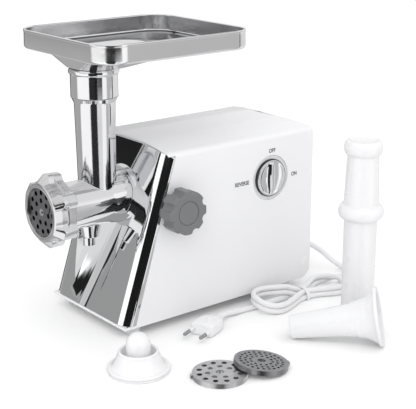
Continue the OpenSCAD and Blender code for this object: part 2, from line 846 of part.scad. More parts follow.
module ring_nut() {
  front = disc_face - 3;
  color("silver") along_x(front) difference() {
    union() {
      cylinder(r1 = mouth_r + 1, r2 = mouth_r + 3, h = 2);
      translate([0, 0, 2]) cylinder(r = mouth_r + 3, h = 22);
      intersection() {
        for (i = [0:5]) rotate([0, 0, i * 60]) translate([mouth_r - 2, -8, 3.5]) rotate([0, 12, 0])
          cube([12, 16, 26]);
        translate([0, 0, 3]) cylinder(r = wing_r, h = 22);
      }
    }
    translate([0, 0, -1]) cylinder(r = disc_r - 2, h = 10);
    translate([0, 0, 2.8]) cylinder(r = mouth_r + gap, h = 40);
  }
}

// ---------------------------------------------------------------- tray

tray_mid = tray_len / 2 - tray_front;

module pan_shell(grow) {
  translate([tray_mid, 0, pan_z]) linear_extrude(tray_wall_h + (grow < 0 ? 1 : 0))
    rounded_rect(tray_len + 2 * grow, tray_w + 2 * grow, tray_r + grow);
  hull() {
    translate([tray_mid, 0, pan_z - 0.01]) linear_extrude(0.1)
      rounded_rect(tray_len + 2 * grow, tray_w + 2 * grow, tray_r + grow, $fn = 32);
    translate([0, 0, axis_z + tube_up + 1.5]) cylinder(r = cup_r + 2 + grow, h = 0.1, $fn = 32);
  }
}

module tray() {
  rim_h = 3;
  rim_in = 2.5;
  color("silver") difference() {
    union() {
      difference() {
        pan_shell(-tray_t);
        translate([0, 0, tray_t + 0.8]) pan_shell(-2 * tray_t);
      }
      translate([tray_mid, 0, rim_z - rim_h]) linear_extrude(rim_h) difference() {
        rounded_rect(tray_len, tray_w, tray_r);
        rounded_rect(tray_len - 2 * rim_in, tray_w - 2 * rim_in, tray_r - rim_in);
      }
      translate([0, 0, collar_z - spout_depth]) cylinder(r = spout_r, h = spout_depth + 3);
    }
    translate([0, 0, collar_z - spout_depth - 1]) cylinder(r = spout_r - spout_t, h = rim_up + spout_depth);
  }
}

// ---------------------------------------------------------------- accessories

module pusher() {
  color("white") translate([pusher_at[0], pusher_at[1], 0]) {
    cylinder(r1 = throat_r - 1.6, r2 = throat_r - 0.4, h = 2);
    translate([0, 0, 2]) cylinder(r = throat_r - 0.4, h = pusher_h - 20);
    translate([0, 0, pusher_h - 86]) cylinder(r1 = throat_r - 0.4, r2 = 24, h = 3);
    translate([0, 0, pusher_h - 83]) cylinder(r = 24, h = 14);
    translate([0, 0, pusher_h - 69]) cylinder(r1 = 24, r2 = throat_r - 0.4, h = 3);
    translate([0, 0, pusher_h - 20]) cylinder(r1 = throat_r - 0.4, r2 = 20, h = 4);
    translate([0, 0, pusher_h - 16]) cylinder(r = 20, h = 12);
    translate([0, 0, pusher_h - 4]) cylinder(r1 = 20, r2 = 17, h = 4);
  }
}

module sausage_tube() {
  tip_r = funnel_tip_r;
  lie = funnel_lie;
  narrow_len = funnel_len * 0.55;
  flare_len = funnel_len - narrow_len;
  rim_t = 3;
  mouth_in = funnel_r - 3.6;
  color("white") translate([funnel_at[0], funnel_at[1], tip_r]) rotate([0, 90 - lie, funnel_turn])
    difference() {
      union() {
        cylinder(r1 = tip_r / cos(lie) - 0.35, r2 = tip_r + 2, h = narrow_len);
        translate([0, 0, narrow_len])
          cylinder(r1 = tip_r + 2, r2 = funnel_r - 2, h = flare_len - rim_t);
        translate([0, 0, funnel_len - rim_t]) cylinder(r = funnel_r - 0.5, h = rim_t);
      }
      translate([0, 0, -1]) cylinder(r1 = tip_r - 2, r2 = tip_r, h = narrow_len + 1.01);
      translate([0, 0, narrow_len]) cylinder(r1 = tip_r, r2 = mouth_in, h = flare_len);
      translate([0, 0, funnel_len - 0.5]) cylinder(r = mouth_in, h = rim_t);
    }
}

module kebbe_cone() {
  flange_top = 5.5;
  cone_z = 8;
  recess_r = former_r + 3;
  color("white") translate([kebbe_at[0], kebbe_at[1], 0]) difference() {
    union() {
      cylinder(r = kebbe_r - 0.8, h = 2.2);
      translate([0, 0, 2.2]) cylinder(r = kebbe_r - 1.6, h = 0.8);
      translate([0, 0, 3]) cylinder(r = kebbe_r, h = flange_top - 3);
      translate([0, 0, flange_top]) cylinder(r1 = kebbe_r, r2 = kebbe_r - 6, h = cone_z - flange_top);
      translate([0, 0, cone_z]) cylinder(r1 = kebbe_r - 6, r2 = recess_r + 3.5, h = kebbe_h - cone_z);
    }
    translate([0, 0, recess_z]) cylinder(r1 = recess_r, r2 = recess_r + 1.8, h = kebbe_h - recess_z + 1);
    translate([0, 0, -1]) cylinder(r = stem_r + gap, h = recess_z + 7);
  }
}

module kebbe_former() {
  shoulder_z = recess_z + gap;
  dome_z = recess_z + 15;
  color("white") translate([kebbe_at[0], kebbe_at[1], 0]) {
    translate([0, 0, 3]) cylinder(r = stem_r, h = shoulder_z - 2);
    translate([0, 0, shoulder_z]) cylinder(r = former_r, h = dome_z - shoulder_z);
    translate([0, 0, dome_z]) sphere(r = former_r);
  }
}

module coarse_plate() {
  color("silver") translate([coarse_at[0], coarse_at[1], 0]) {
    perforated_disc(spare_t, coarse_rings, 4);
    rotate([0, 0, 150]) translate([disc_r - 1, -2.5, 0.8]) cube([2.2, 5, spare_t - 1.6]);
  }
}

module fine_plate() {
  reach = norm(fine_at - coarse_at) - disc_r;
  turn = atan2(coarse_at[1] - fine_at[1], coarse_at[0] - fine_at[0]);
  tip = asin((spare_t + gap) / (reach + disc_r));
  color("dimgray") translate([fine_at[0], fine_at[1], 0]) rotate([0, 0, turn])
    translate([-disc_r, 0, 0.1]) rotate([0, -tip, 0]) translate([disc_r, 0, 0]) {
      perforated_disc(spare_t, fine_rings, 4);
      rotate([0, 0, 170]) translate([-disc_r - 1, -2.5, 1.8]) cube([2.2, 5, spare_t - 2.8]);
    }
}

// ---------------------------------------------------------------- cord and plug

// Sweeps a round section along a route; the rings stay square to the route
function unit(v) = v / norm(v);
function heading(p, i) = unit(p[min(i + 1, len(p) - 1)] - p[max(i - 1, 0)]);
function ring_at(p, i, r, sides) =
  let (t = heading(p, i), side = unit(cross(t, [0, 0, 1])), up = cross(side, t))
  [for (k = [0:sides - 1]) p[i] + r * (cos(360 * k / sides) * side + sin(360 * k / sides) * up)];

module swept_tube(p, r, sides) {
  n = len(p);
  polyhedron(
    points = [for (i = [0:n - 1]) each ring_at(p, i, r, sides)],
    faces = concat(
      [[for (k = [0:sides - 1]) k]],
      [for (i = [0:n - 2], k = [0:sides - 1])
        let (a = i * sides + k, b = i * sides + (k + 1) % sides)
          each [[a, a + sides, b], [b, a + sides, b + sides]]],
      [[for (k = [sides - 1:-1:0]) (n - 1) * sides + k]]));
}

module cord_gland() {
  color("white") translate([back_x, gland_y, gland_z]) rotate([0, 90, 0]) difference() {
    union() {
      translate([0, 0, -wall - 3]) cylinder(r = 5, h = wall + 4);
      cylinder(r = 8, h = 3);
      translate([0, 0, 3]) cylinder(r1 = 6, r2 = cord_r + 1.2, h = gland_len - 3);
    }
    translate([0, 0, -20]) cylinder(r = cord_r + 0.05, h = 60);
  }
}

module cord_lead() { color("white") swept_tube(lead_points, cord_r - 0.05, 10); }

module cord_tail() { color("white") swept_tube(tail_points, cord_r - 0.05, 10); }

module cord_hank() {
  mid = (hank_x[0] + hank_x[1]) / 2;
  color("white") translate([mid, hank_y, 1.2]) linear_extrude(hank_h)
    rounded_rect(hank_x[1] - hank_x[0], hank_w, hank_w / 2 - 0.01);
}

module cord_tie() {
  color("white") difference() {
    translate([tie_x - 2, hank_y - hank_w / 2 - 1, 0]) cube([4, hank_w + 2, hank_h + 2.4]);
    translate([tie_x - 3, hank_y - hank_w / 2, 1.2]) cube([6, hank_w, hank_h]);
  }
}

module plug_frame() { translate([plug_at[0], plug_at[1], 0]) rotate([0, 0, plug_turn]) children(); }

module plug_body() {
  h = 13.5;
  color("white") plug_frame() difference() {
    union() {
      translate([12, -13, 0]) cube([plug_len - 12, 26, h]);
      translate([12, 0, 0]) linear_extrude(h) polygon([[-8, -7], [-8, 7], [1, 13], [1, -13]]);
      translate([0, 0, 7]) rotate([0, 90, 0]) cylinder(r1 = 4.6, r2 = 6.4, h = 8);
    }
    translate([-1, 0, 7]) rotate([0, 90, 0]) cylinder(r = cord_r, h = 7);
  }
}

module plug_pins() {
  color("silver") plug_frame() for (s = [-1, 1])
    translate([plug_len, s * 9.5, 7]) rotate([0, 90, 0]) cylinder(r1 = 2.2, r2 = 2, h = 19);
}

placed() housing();
placed() front_plate();
placed() base_plate();
placed() feet();
placed() base_screws();
placed() neck_sleeve();
placed() gearbox_case();
placed() gearbox_cover();
placed() gearbox_screws();
placed() output_gear();
placed() output_coupling();
placed() idler_gear();
placed() idler_shaft();
placed() motor_frame();
placed() motor_core();
placed() field_coils();
placed() rotor_core();
placed() rotor_shaft();
placed() rotor_windings();
placed() commutator();
placed() motor_pinion();
placed() cooling_fan();
placed() motor_bearings();
placed() carbon_brushes();
placed() brush_holders();
placed() switch_body();
placed() switch_dial();
placed() dial_seal();
placed() lock_insert();
placed() lock_knob();
placed() lock_pad();
placed() head_casting();
placed() auger_screw();
placed() auger_shaft();
placed() thrust_washer();
placed() cutting_knife();
placed() cutting_plate();
placed() ring_nut();
placed() tray();
placed() pusher();
placed() sausage_tube();
placed() kebbe_cone();
placed() kebbe_former();
placed() coarse_plate();
placed() fine_plate();
placed() cord_gland();
placed() cord_lead();
placed() cord_hank();
placed() cord_tail();
placed() cord_tie();
placed() plug_body();
placed() plug_pins();
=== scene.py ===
# Electric meat grinder with its loose accessories.
# The sections follow the machine as it is put together; sizes are millimetres about the feed
# tube's axis and the table, and at() turns them into metres in the frame.
import json
import math

import bmesh
import bpy
from mathutils import Matrix, Vector


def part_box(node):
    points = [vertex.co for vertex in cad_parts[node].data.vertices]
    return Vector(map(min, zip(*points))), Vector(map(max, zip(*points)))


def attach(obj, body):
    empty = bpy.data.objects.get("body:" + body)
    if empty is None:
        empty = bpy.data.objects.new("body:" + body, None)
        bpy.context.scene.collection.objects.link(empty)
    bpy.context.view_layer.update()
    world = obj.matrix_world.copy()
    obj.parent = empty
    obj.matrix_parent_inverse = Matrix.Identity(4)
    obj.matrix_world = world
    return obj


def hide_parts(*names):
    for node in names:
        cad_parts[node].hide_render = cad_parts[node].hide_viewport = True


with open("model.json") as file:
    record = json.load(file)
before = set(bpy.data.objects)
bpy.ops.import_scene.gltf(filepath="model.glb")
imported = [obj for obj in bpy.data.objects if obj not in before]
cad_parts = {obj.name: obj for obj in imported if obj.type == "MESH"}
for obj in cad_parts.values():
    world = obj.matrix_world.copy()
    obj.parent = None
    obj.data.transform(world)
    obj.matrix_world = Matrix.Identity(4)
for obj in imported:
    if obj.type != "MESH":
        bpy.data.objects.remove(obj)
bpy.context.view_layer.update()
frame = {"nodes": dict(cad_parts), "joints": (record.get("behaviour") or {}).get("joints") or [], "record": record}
joints = {joint["name"]: joint for joint in frame["joints"]}

# ---------------------------------------------------------------- camera
# It stands on the switch side, a little above the tray, and looks across the barrel.
crossing = Vector(joints["auger_spin"]["pos_m"])  # the barrel's axis meets the feed tube's here


def at(x, y, z=0.0):
    """A place in the frame, from millimetres along, across and above the table."""
    return Vector((crossing.x + x / 1000, crossing.y + y / 1000, z / 1000))


camera_data = bpy.data.cameras.new("camera")
camera_data.sensor_width = 36
camera_data.lens = 95.7
camera = bpy.data.objects.new("camera", camera_data)
camera.location = at(-603.5, -933.4, 466.7)
view_line = at(147.9, 0, 98.9) - camera.location
camera.rotation_euler = view_line.to_track_quat("-Z", "Y").to_euler()
bpy.context.scene.collection.objects.link(camera)
bpy.context.scene.camera = camera

# ---------------------------------------------------------------- finishes
# Every surface starts from one group of marks: a soft change of shade, patches that are more
# and less polished, and a fine relief. Each material places it with its own values.


def new_marks_group():
    group = bpy.data.node_groups.new("surface_marks", "ShaderNodeTree")
    face = group.interface
    for name in ("Colour", "Shade"):
        face.new_socket(name, in_out="INPUT", socket_type="NodeSocketColor")
    face.new_socket("Stretch", in_out="INPUT", socket_type="NodeSocketVector")
    for name in ("Patch Scale", "Grain Scale", "Polished", "Worn"):
        face.new_socket(name, in_out="INPUT", socket_type="NodeSocketFloat")
    face.new_socket("Colour", in_out="OUTPUT", socket_type="NodeSocketColor")
    for name in ("Roughness", "Height"):
        face.new_socket(name, in_out="OUTPUT", socket_type="NodeSocketFloat")
    nodes, link = group.nodes, group.links.new
    given, result = nodes.new("NodeGroupInput"), nodes.new("NodeGroupOutput")
    place = nodes.new("ShaderNodeTexCoord")
    stretch = nodes.new("ShaderNodeVectorMath")
    stretch.operation = "MULTIPLY"
    link(place.outputs["Object"], stretch.inputs[0])
    link(given.outputs["Stretch"], stretch.inputs[1])
    patches, grain = nodes.new("ShaderNodeTexNoise"), nodes.new("ShaderNodeTexNoise")
    patches.inputs["Detail"].default_value = 4
    grain.inputs["Detail"].default_value = 6
    for noise, scale in ((patches, "Patch Scale"), (grain, "Grain Scale")):
        link(stretch.outputs[0], noise.inputs["Vector"])
        link(given.outputs[scale], noise.inputs["Scale"])
    tone = nodes.new("ShaderNodeMix")
    tone.data_type = "RGBA"
    link(patches.outputs["Fac"], tone.inputs["Factor"])
    link(given.outputs["Colour"], tone.inputs["A"])
    link(given.outputs["Shade"], tone.inputs["B"])
    wear = nodes.new("ShaderNodeMapRange")
    wear.inputs["From Min"].default_value = 0.35
    wear.inputs["From Max"].default_value = 0.65
    link(patches.outputs["Fac"], wear.inputs["Value"])
    link(given.outputs["Polished"], wear.inputs["To Min"])
    link(given.outputs["Worn"], wear.inputs["To Max"])
    link(tone.outputs["Result"], result.inputs["Colour"])
    link(wear.outputs["Result"], result.inputs["Roughness"])
    link(grain.outputs["Fac"], result.inputs["Height"])
    return group


marks_group = new_marks_group()


def finish(name, colour, shade, polished, worn, patch=30, grain=900, relief=0.02, stretch=(1, 1, 1),
           **sockets):
    """A material whose colour, roughness and relief come from the marks group."""
    material = bpy.data.materials.new(name)
    material.use_nodes = True
    nodes, link = material.node_tree.nodes, material.node_tree.links.new
    shader = nodes["Principled BSDF"]
    marks = nodes.new("ShaderNodeGroup")
    marks.name = "marks"
    marks.node_tree = marks_group
    marks.inputs["Colour"].default_value = (*colour, 1)
    marks.inputs["Shade"].default_value = (*shade, 1)
    marks.inputs["Stretch"].default_value = stretch
    for socket, value in (("Patch Scale", patch), ("Grain Scale", grain), ("Polished", polished),
                          ("Worn", worn)):
        marks.inputs[socket].default_value = value
    bump = nodes.new("ShaderNodeBump")
    bump.name = "relief"
    bump.inputs["Strength"].default_value = relief
    bump.inputs["Distance"].default_value = 0.0004
    link(marks.outputs["Colour"], shader.inputs["Base Color"])
    link(marks.outputs["Roughness"], shader.inputs["Roughness"])
    link(marks.outputs["Height"], bump.inputs["Height"])
    link(bump.outputs["Normal"], shader.inputs["Normal"])
    for socket, value in sockets.items():
        shader.inputs[socket.replace("_", " ")].default_value = value
    return material


def dress(node, material):
    """Puts a material on a CAD node that is shown as it is."""
    data = frame["nodes"][node].data
    data.materials.clear()
    data.materials.append(material)


cord_sheath = finish("cord_sheath", (0.80, 0.80, 0.81), (0.76, 0.76, 0.77), 0.38, 0.5, patch=60, grain=1600,
                     relief=0.05)
white_moulding = finish("white_moulding", (0.80, 0.80, 0.81), (0.78, 0.78, 0.79), 0.24, 0.34, patch=24,
                        grain=1400, relief=0.02, Coat_Weight=0.25)

# ---------------------------------------------------------------- mains cord
# A round white sheath 6.2 mm thick. It leaves the back low down, turns to the switch side and is
# folded into a flat hank of five runs; the loose end goes on to the plug.
cord_d = 6.2
floor_rest = 3.3
lead_route = [(255, -22, 34), (268, -22, 34), (278, -24, 32), (288, -28, 27), (297, -36, 19),
              (302, -46, 11), (305, -58, 6), (304, -69, 4), (300, -79, 3.3), (293, -87, 3.3),
              (284, -93, 3.3), (272, -96, 3.3)]
tail_route = [(142, -87, 3.3), (132, -86, 3.3), (122, -86, 3.8), (112, -86.5, 5), (102, -88, 6.3),
              (93, -91, 7), (85, -94.2, 7)]
hank_y = -95
fold_r = 19.4
layer = cord_d + 0.1
left_fold_x, right_fold_x = 160.5, 247
outer_fold_x = right_fold_x + layer


def fold(x, first, last, heights):
    """Points round one end of the hank, from one side angle to the other."""
    step = (last - first) / (len(heights) - 1)
    turn = [math.radians(first + i * step) for i in range(len(heights))]
    return [(x + fold_r * math.cos(a), hank_y + fold_r * math.sin(a), floor_rest + z)
            for a, z in zip(turn, heights)]


def run(*stops):
    """Points along the hank, each given by its place, its offset across and its height."""
    return [(x, hank_y + across, floor_rest + z) for x, across, z in stops]


tie_x = 208
second = layer  # height of a strand that lies on another
nested = 5.45  # height of a strand that lies in the groove between two
over_tail = [second, second, second, 5.3, 2.7, 0.7, 0]
over_lead = [0, 0.3, 2.9, 6.4, 6.4, 6.4, 6.4]
down_outside = [second, 6.4, 6.4, 6.4, 4.7, 1.3, 0]
cord_route = [
    *lead_route,
    *run((250, -0.5, 0), (228, 0, 0), (tie_x, 0, 0), (198, 1, 2.7), (190, 5, second), (180, 12, second)),
    *fold(left_fold_x, 90, 270, over_tail),
    *run((180, -14, 0), (194, -8.5, 0), (tie_x, -layer, 0), (223, -9, 0), (237, -16, 0)),
    *fold(right_fold_x, -90, 90, over_lead),
    *run((235, 15.5, 6.4), (222, 8, 5.9), (tie_x, 3.2, nested), (198, 3, 9), (190, 5.5, 2 * second),
         (180, 12, 2 * second)),
    *fold(left_fold_x, 90, 270, [height + second for height in over_tail]),
    *run((180, -14, second), (194, -8, 6), (tie_x, -3.2, nested), (222, -8, 6), (238, -15.5, second)),
    *fold(outer_fold_x, -90, 90, down_outside),
    *run((240, 16, 0), (223, 9.5, 0), (tie_x, layer, 0), (196, 6.5, 0), (182, 7.6, 0), (160, 8, 0)),
    *tail_route,
]
cord_curve = bpy.data.curves.new("mains_cord", "CURVE")
cord_curve.dimensions = "3D"
cord_curve.bevel_depth = cord_d / 2000
cord_curve.bevel_resolution = 6
cord_curve.resolution_u = 6
cord_curve.use_fill_caps = True
spline = cord_curve.splines.new("BEZIER")
spline.bezier_points.add(len(cord_route) - 1)
for knot, point in zip(spline.bezier_points, cord_route):
    knot.co = at(*point)
    knot.handle_left_type = knot.handle_right_type = "AUTO"
cord_curve.materials.append(cord_sheath)
mains_cord = bpy.data.objects.new("mains_cord", cord_curve)
bpy.context.scene.collection.objects.link(mains_cord)
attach(mains_cord, "chassis")
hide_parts("cord_lead", "cord_hank", "cord_tail")

# ---------------------------------------------------------------- strain relief, tie and plug
# The tapered rubber sleeve has ring grooves, a strap ties the hank, and the flat two-pin plug
# is moulded on to the cord with ribs at its neck; its pins are half sleeved.


def round_corners(points, radius, steps=4, closed=False):
    """The same outline with an arc at each corner."""
    count = len(points)
    out = []
    for i, here in enumerate(points):
        here = Vector(here)
        if not closed and i in (0, count - 1):
            out.append(here)
            continue
        before, after = Vector(points[i - 1]) - here, Vector(points[(i + 1) % count]) - here
        reach = min(radius, before.length * 0.45, after.length * 0.45)
        start, end = here + before.normalized() * reach, here + after.normalized() * reach
        for k in range(steps + 1):
            t = k / steps
            out.append(start * (1 - t) ** 2 + here * 2 * t * (1 - t) + end * t * t)
    return out


def place_mesh(name, mesh, material, body, replaced=(), crease=30):
    """Makes a finished piece of a mesh that already lies where it belongs."""
    mesh.name = name
    mesh.materials.clear()
    mesh.materials.append(material)
    mesh.shade_smooth()
    mesh.set_sharp_from_angle(angle=math.radians(crease))
    piece = bpy.data.objects.new(name, mesh)
    bpy.context.scene.collection.objects.link(piece)
    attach(piece, body)
    if replaced:
        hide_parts(*replaced)
    return piece


def closed_mesh(verts, faces):
    """A mesh with its doubles merged and its faces turned outwards."""
    mesh = bpy.data.meshes.new("closed")
    mesh.from_pydata(verts, [], faces)
    work = bmesh.new()
    work.from_mesh(mesh)
    bmesh.ops.remove_doubles(work, verts=work.verts, dist=1e-6)
    bmesh.ops.dissolve_degenerate(work, edges=work.edges, dist=1e-7)
    bmesh.ops.recalc_face_normals(work, faces=work.faces)
    work.to_mesh(mesh)
    work.free()
    return mesh


def lofted(rings, wrap=False, caps=False):
    """Joins rings of the same number of points; wrap joins the last to the first."""
    count = len(rings[0])
    verts = [point for ring in rings for point in ring]
    faces = []
    for i in range(len(rings) if wrap else len(rings) - 1):
        a, b = i * count, (i + 1) % len(rings) * count
        faces += [(a + k, a + (k + 1) % count, b + (k + 1) % count, b + k) for k in range(count)]
    if caps:
        faces += [tuple(range(count)), tuple(range(len(verts) - count, len(verts)))]
    return closed_mesh(verts, faces)


def turned(outline, origin, axis=(0, 0, 1), sides=96, wrap=False):
    """Spins an outline of (radius, distance along the axis) in millimetres."""
    spindle = Vector(axis).normalized()
    across = spindle.orthogonal().normalized()
    up = spindle.cross(across)
    rings = []
    for radius, along in outline:
        middle = origin + spindle * along / 1000
        rings.append([middle + (across * math.cos(a) + up * math.sin(a)) * radius / 1000
                      for a in (2 * math.pi * k / sides for k in range(sides))])
    return lofted(rings, wrap=wrap)


back_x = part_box("housing")[1].x
gland_lo, gland_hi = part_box("cord_gland")
sleeve_root = Vector((back_x, (gland_lo.y + gland_hi.y) / 2, (gland_lo.z + gland_hi.z) / 2))
sleeve_len = (gland_hi.x - back_x) * 1000
groove_count, groove_pitch, groove_taper = 5, 3.4, 0.32
sleeve = [(cord_d / 2 + 0.05, -4), (5, -4), (5, 0), (8, 0.05), (8, 3), (6.2, 3.4)]
for i in range(groove_count):
    start = 5 + i * groove_pitch
    thick = 6.1 - i * groove_taper
    sleeve += [(thick, start), (thick, start + 2.2), (thick - 1, start + 2.5), (thick - 1.1, start + 3.1)]
sleeve += [(4.5, sleeve_len - 1.5), (4.2, sleeve_len), (cord_d / 2 + 0.05, sleeve_len)]
sleeve_mesh = turned(round_corners(sleeve, 0.5, 3, True), sleeve_root, (1, 0, 0), 48, True)
strain_relief = place_mesh("strain_relief", sleeve_mesh, white_moulding, "chassis",
                           ["cord_gland"])

strap_w, strap_t, strap_edge = 4, 1.1, 0.3
strap_half, strap_top = 3 * cord_d / 2 + 1.0, 12.6
strap_path = round_corners([(-strap_half, 0.1), (strap_half, 0.1), (strap_half, 7), (4.5, strap_top),
                            (-4.5, strap_top), (-strap_half, 7)], 4.0, 6, True)
strap_middle = Vector((0, strap_top / 2))


def strap_ring(side, grow):
    """The strap's loop at one side of its middle, grown outwards."""
    points = []
    for point in strap_path:
        outwards = (Vector(point) - strap_middle).normalized() * grow
        points.append(at(tie_x + side, hank_y + point[0] + outwards.x, max(point[1] + outwards.y, 0.05)))
    return points


strap = lofted([
    strap_ring(-strap_w / 2, 0), strap_ring(-strap_w / 2 + strap_edge, strap_t),
    strap_ring(strap_w / 2 - strap_edge, strap_t), strap_ring(strap_w / 2, 0),
], wrap=True)
cord_strap = place_mesh("cord_strap", strap, white_moulding, "chassis", ["cord_tie"])

plug_root = at(88, -93, 0)
plug_turn = math.radians(201.7)
plug_len = 38
plug_axis_z = 7
plug_ahead = Vector((math.cos(plug_turn), math.sin(plug_turn), 0))
plug_side = Vector((-plug_ahead.y, plug_ahead.x, 0))


def plug_section(along, half_w, half_h, squareness, count=48):
    """A rounded rectangle across the plug, at a distance from where the cord enters."""
    middle = plug_root + plug_ahead * along / 1000
    ring = []
    for k in range(count):
        a = 2 * math.pi * k / count
        c, s = math.cos(a), math.sin(a)
        x = half_w * math.copysign(abs(c) ** (2 / squareness), c)
        z = half_h * math.copysign(abs(s) ** (2 / squareness), s)
        ring.append(middle + plug_side * x / 1000 + Vector((0, 0, (plug_axis_z + z) / 1000)))
    return ring


neck_ribs = 3
plug_shape = [(0, 3.2, 3.2, 2), (0, 4.6, 4.4, 2)]
for i in range(neck_ribs):
    start = 0.3 + i * 2.4
    plug_shape += [(start, 5 + i * 0.3, 4.8, 2.1), (start + 1.5, 5.1 + i * 0.3, 4.9, 2.1),
                   (start + 1.7, 4.2, 4, 2.1), (start + 2.2, 4.3, 4.1, 2.1)]
plug_shape += [(7.6, 6.2, 5.2, 2.3), (9.5, 9.2, 5.9, 2.8), (12, 11.8, 6.5, 3.6), (15, 12.8, 6.75, 4.6),
               (24, 12.9, 6.75, 5.5), (36.4, 13, 6.75, 6), (37.4, 12.8, 6.5, 6), (plug_len, 12.2, 5.9, 6),
               (plug_len, 8, 3, 4), (plug_len, 1, 0.5, 2)]
plug_mesh = lofted([plug_section(*section) for section in plug_shape], caps=True)
mains_plug = place_mesh("mains_plug", plug_mesh, white_moulding, "chassis", ["plug_body"],
                        crease=50)

pin_steel = finish("pin_steel", (0.46, 0.46, 0.48), (0.36, 0.36, 0.38), 0.2, 0.34, patch=200, relief=0.03,
                   Metallic=1.0)
pin_outline = [(0, -1), (2.3, -1), (2.3, 0), (2.1, 8), (2.1, 8.2), (1.95, 8.4), (1.95, 17.6), (1.5, 18.6),
               (0.8, 19), (0, 19)]
pin_spread, pin_sleeve = 9.5, 8.1
pins = bmesh.new()
for side in (-1, 1):
    root = plug_root + plug_ahead * plug_len / 1000 + plug_side * side * pin_spread / 1000
    root += Vector((0, 0, plug_axis_z / 1000))
    pins.from_mesh(turned(pin_outline, root, plug_ahead, 32))
pins_mesh = bpy.data.meshes.new("plug_pins")
pins.to_mesh(pins_mesh)
pins.free()
plug_contacts = place_mesh("plug_contacts", pins_mesh, pin_steel, "chassis", ["plug_pins"],
                           crease=40)
pins_mesh.materials.append(white_moulding)
for face in pins_mesh.polygons:
    if (face.center - plug_root).dot(plug_ahead) * 1000 < plug_len + pin_sleeve:
        face.material_index = 1

# ---------------------------------------------------------------- studio
# White table and surround. Polished metal sees soft white walls with grey and black cards
# between them, which give it its bands; the lamps stay out of the reflections.


def new_card_group():
    """A mask over directions: a card round one azimuth, from one elevation up to another."""
    group = bpy.data.node_groups.new("studio_card", "ShaderNodeTree")
    for name in ("Azimuth", "Elevation", "Middle", "Half Width", "Low", "High", "Soft", "Level", "Behind"):
        group.interface.new_socket(name, in_out="INPUT", socket_type="NodeSocketFloat")
    group.interface.new_socket("Level", in_out="OUTPUT", socket_type="NodeSocketFloat")
    nodes, link = group.nodes, group.links.new
    given, result = nodes.new("NodeGroupInput"), nodes.new("NodeGroupOutput")

    def maths(operation, a, b=None, c=None):
        node = nodes.new("ShaderNodeMath")
        node.operation = operation
        for socket, value in zip(node.inputs, (a, b, c)):
            if isinstance(value, (int, float)):
                socket.default_value = value
            elif value is not None:
                link(value, socket)
        return node.outputs[0]

    def rise(value, edge):
        """0 below the edge and 1 above it, over the soft width."""
        away = maths("DIVIDE", maths("SUBTRACT", value, edge), given.outputs["Soft"])
        node = nodes.new("ShaderNodeMapRange")
        node.interpolation_type = "SMOOTHSTEP"
        node.inputs["From Min"].default_value = -0.5
        node.inputs["From Max"].default_value = 0.5
        link(away, node.inputs["Value"])
        return node.outputs["Result"]

    offset = maths("SUBTRACT", given.outputs["Azimuth"], given.outputs["Middle"])
    turned_by = maths("ABSOLUTE", maths("WRAP", offset, 180.0, -180.0))
    inside = maths("SUBTRACT", 1.0, rise(turned_by, given.outputs["Half Width"]))
    above = rise(given.outputs["Elevation"], given.outputs["Low"])
    below = maths("SUBTRACT", 1.0, rise(given.outputs["Elevation"], given.outputs["High"]))
    mask = maths("MULTIPLY", inside, maths("MULTIPLY", above, below))
    change = maths("SUBTRACT", given.outputs["Level"], given.outputs["Behind"])
    link(maths("MULTIPLY_ADD", mask, change, given.outputs["Behind"]), result.inputs["Level"])
    return group


card_group = new_card_group()
world = bpy.data.worlds.new("studio")
bpy.context.scene.world = world
world.use_nodes = True
sky, sky_link = world.node_tree.nodes, world.node_tree.links.new
looking = sky.new("ShaderNodeTexCoord")
parts_of_look = sky.new("ShaderNodeSeparateXYZ")
sky_link(looking.outputs["Generated"], parts_of_look.inputs[0])


def sky_maths(operation, a, b=None):
    """One sum in the surroundings' own nodes."""
    node = sky.new("ShaderNodeMath")
    node.operation = operation
    for socket, value in zip(node.inputs, (a, b)):
        if isinstance(value, (int, float)):
            socket.default_value = value
        elif value is not None:
            sky_link(value, socket)
    return node.outputs[0]


azimuth = sky_maths("DEGREES", sky_maths("ARCTAN2", parts_of_look.outputs["Y"], parts_of_look.outputs["X"]))
elevation = sky_maths("DEGREES", sky_maths("ARCSINE", parts_of_look.outputs["Z"]))
# middle azimuth, half width, low, high, softness in degrees, then brightness
cards = [
    (0, 181, -91, 91, 4, 0.86),
    (114, 32, -70, 8, 9, 0.35),
    (118, 30, -70, -8, 8, 0.45),
    (127, 17, 6.3, 12.6, 0.7, 0.015),
    (112, 34, 12.6, 22, 4, 0.62),
    (165, 28, 14, 60, 8, 0.8),
    (190, 40, -70, -3, 6, 1.15),
    (156, 13, -3, 15, 2.5, 1.3),
    (232, 20, -70, 4, 1.5, 0.03),
    (210, 41, 3, 16, 1.5, 0.012),
    (258, 20, -12, 14, 1.5, 0.012),
    (289, 13, -70, 30, 5, 1.1),
    (314, 15, -70, 8, 6, 0.54),
    (334, 3, -60, 2, 1.5, 0.06),
    (74, 11, -26, 8, 3, 0.06),
    (46, 14, -60, 8, 6, 0.45),
    (11, 26, 44, 60, 6, 0.1),
]
level = 0.0
for card in cards:
    node = sky.new("ShaderNodeGroup")
    node.node_tree = card_group
    sky_link(azimuth, node.inputs["Azimuth"])
    sky_link(elevation, node.inputs["Elevation"])
    for socket, value in zip(("Middle", "Half Width", "Low", "High", "Soft", "Level"), card):
        node.inputs[socket].default_value = value
    if level:
        sky_link(level, node.inputs["Behind"])
    level = node.outputs["Level"]
rays = sky.new("ShaderNodeLightPath")
backdrop_light = 1.0
low_light, lift = 0.9, 0.34  # soft light is stronger from above
soft_light = sky_maths("ADD", sky_maths("MULTIPLY", parts_of_look.outputs["Z"], lift), low_light)


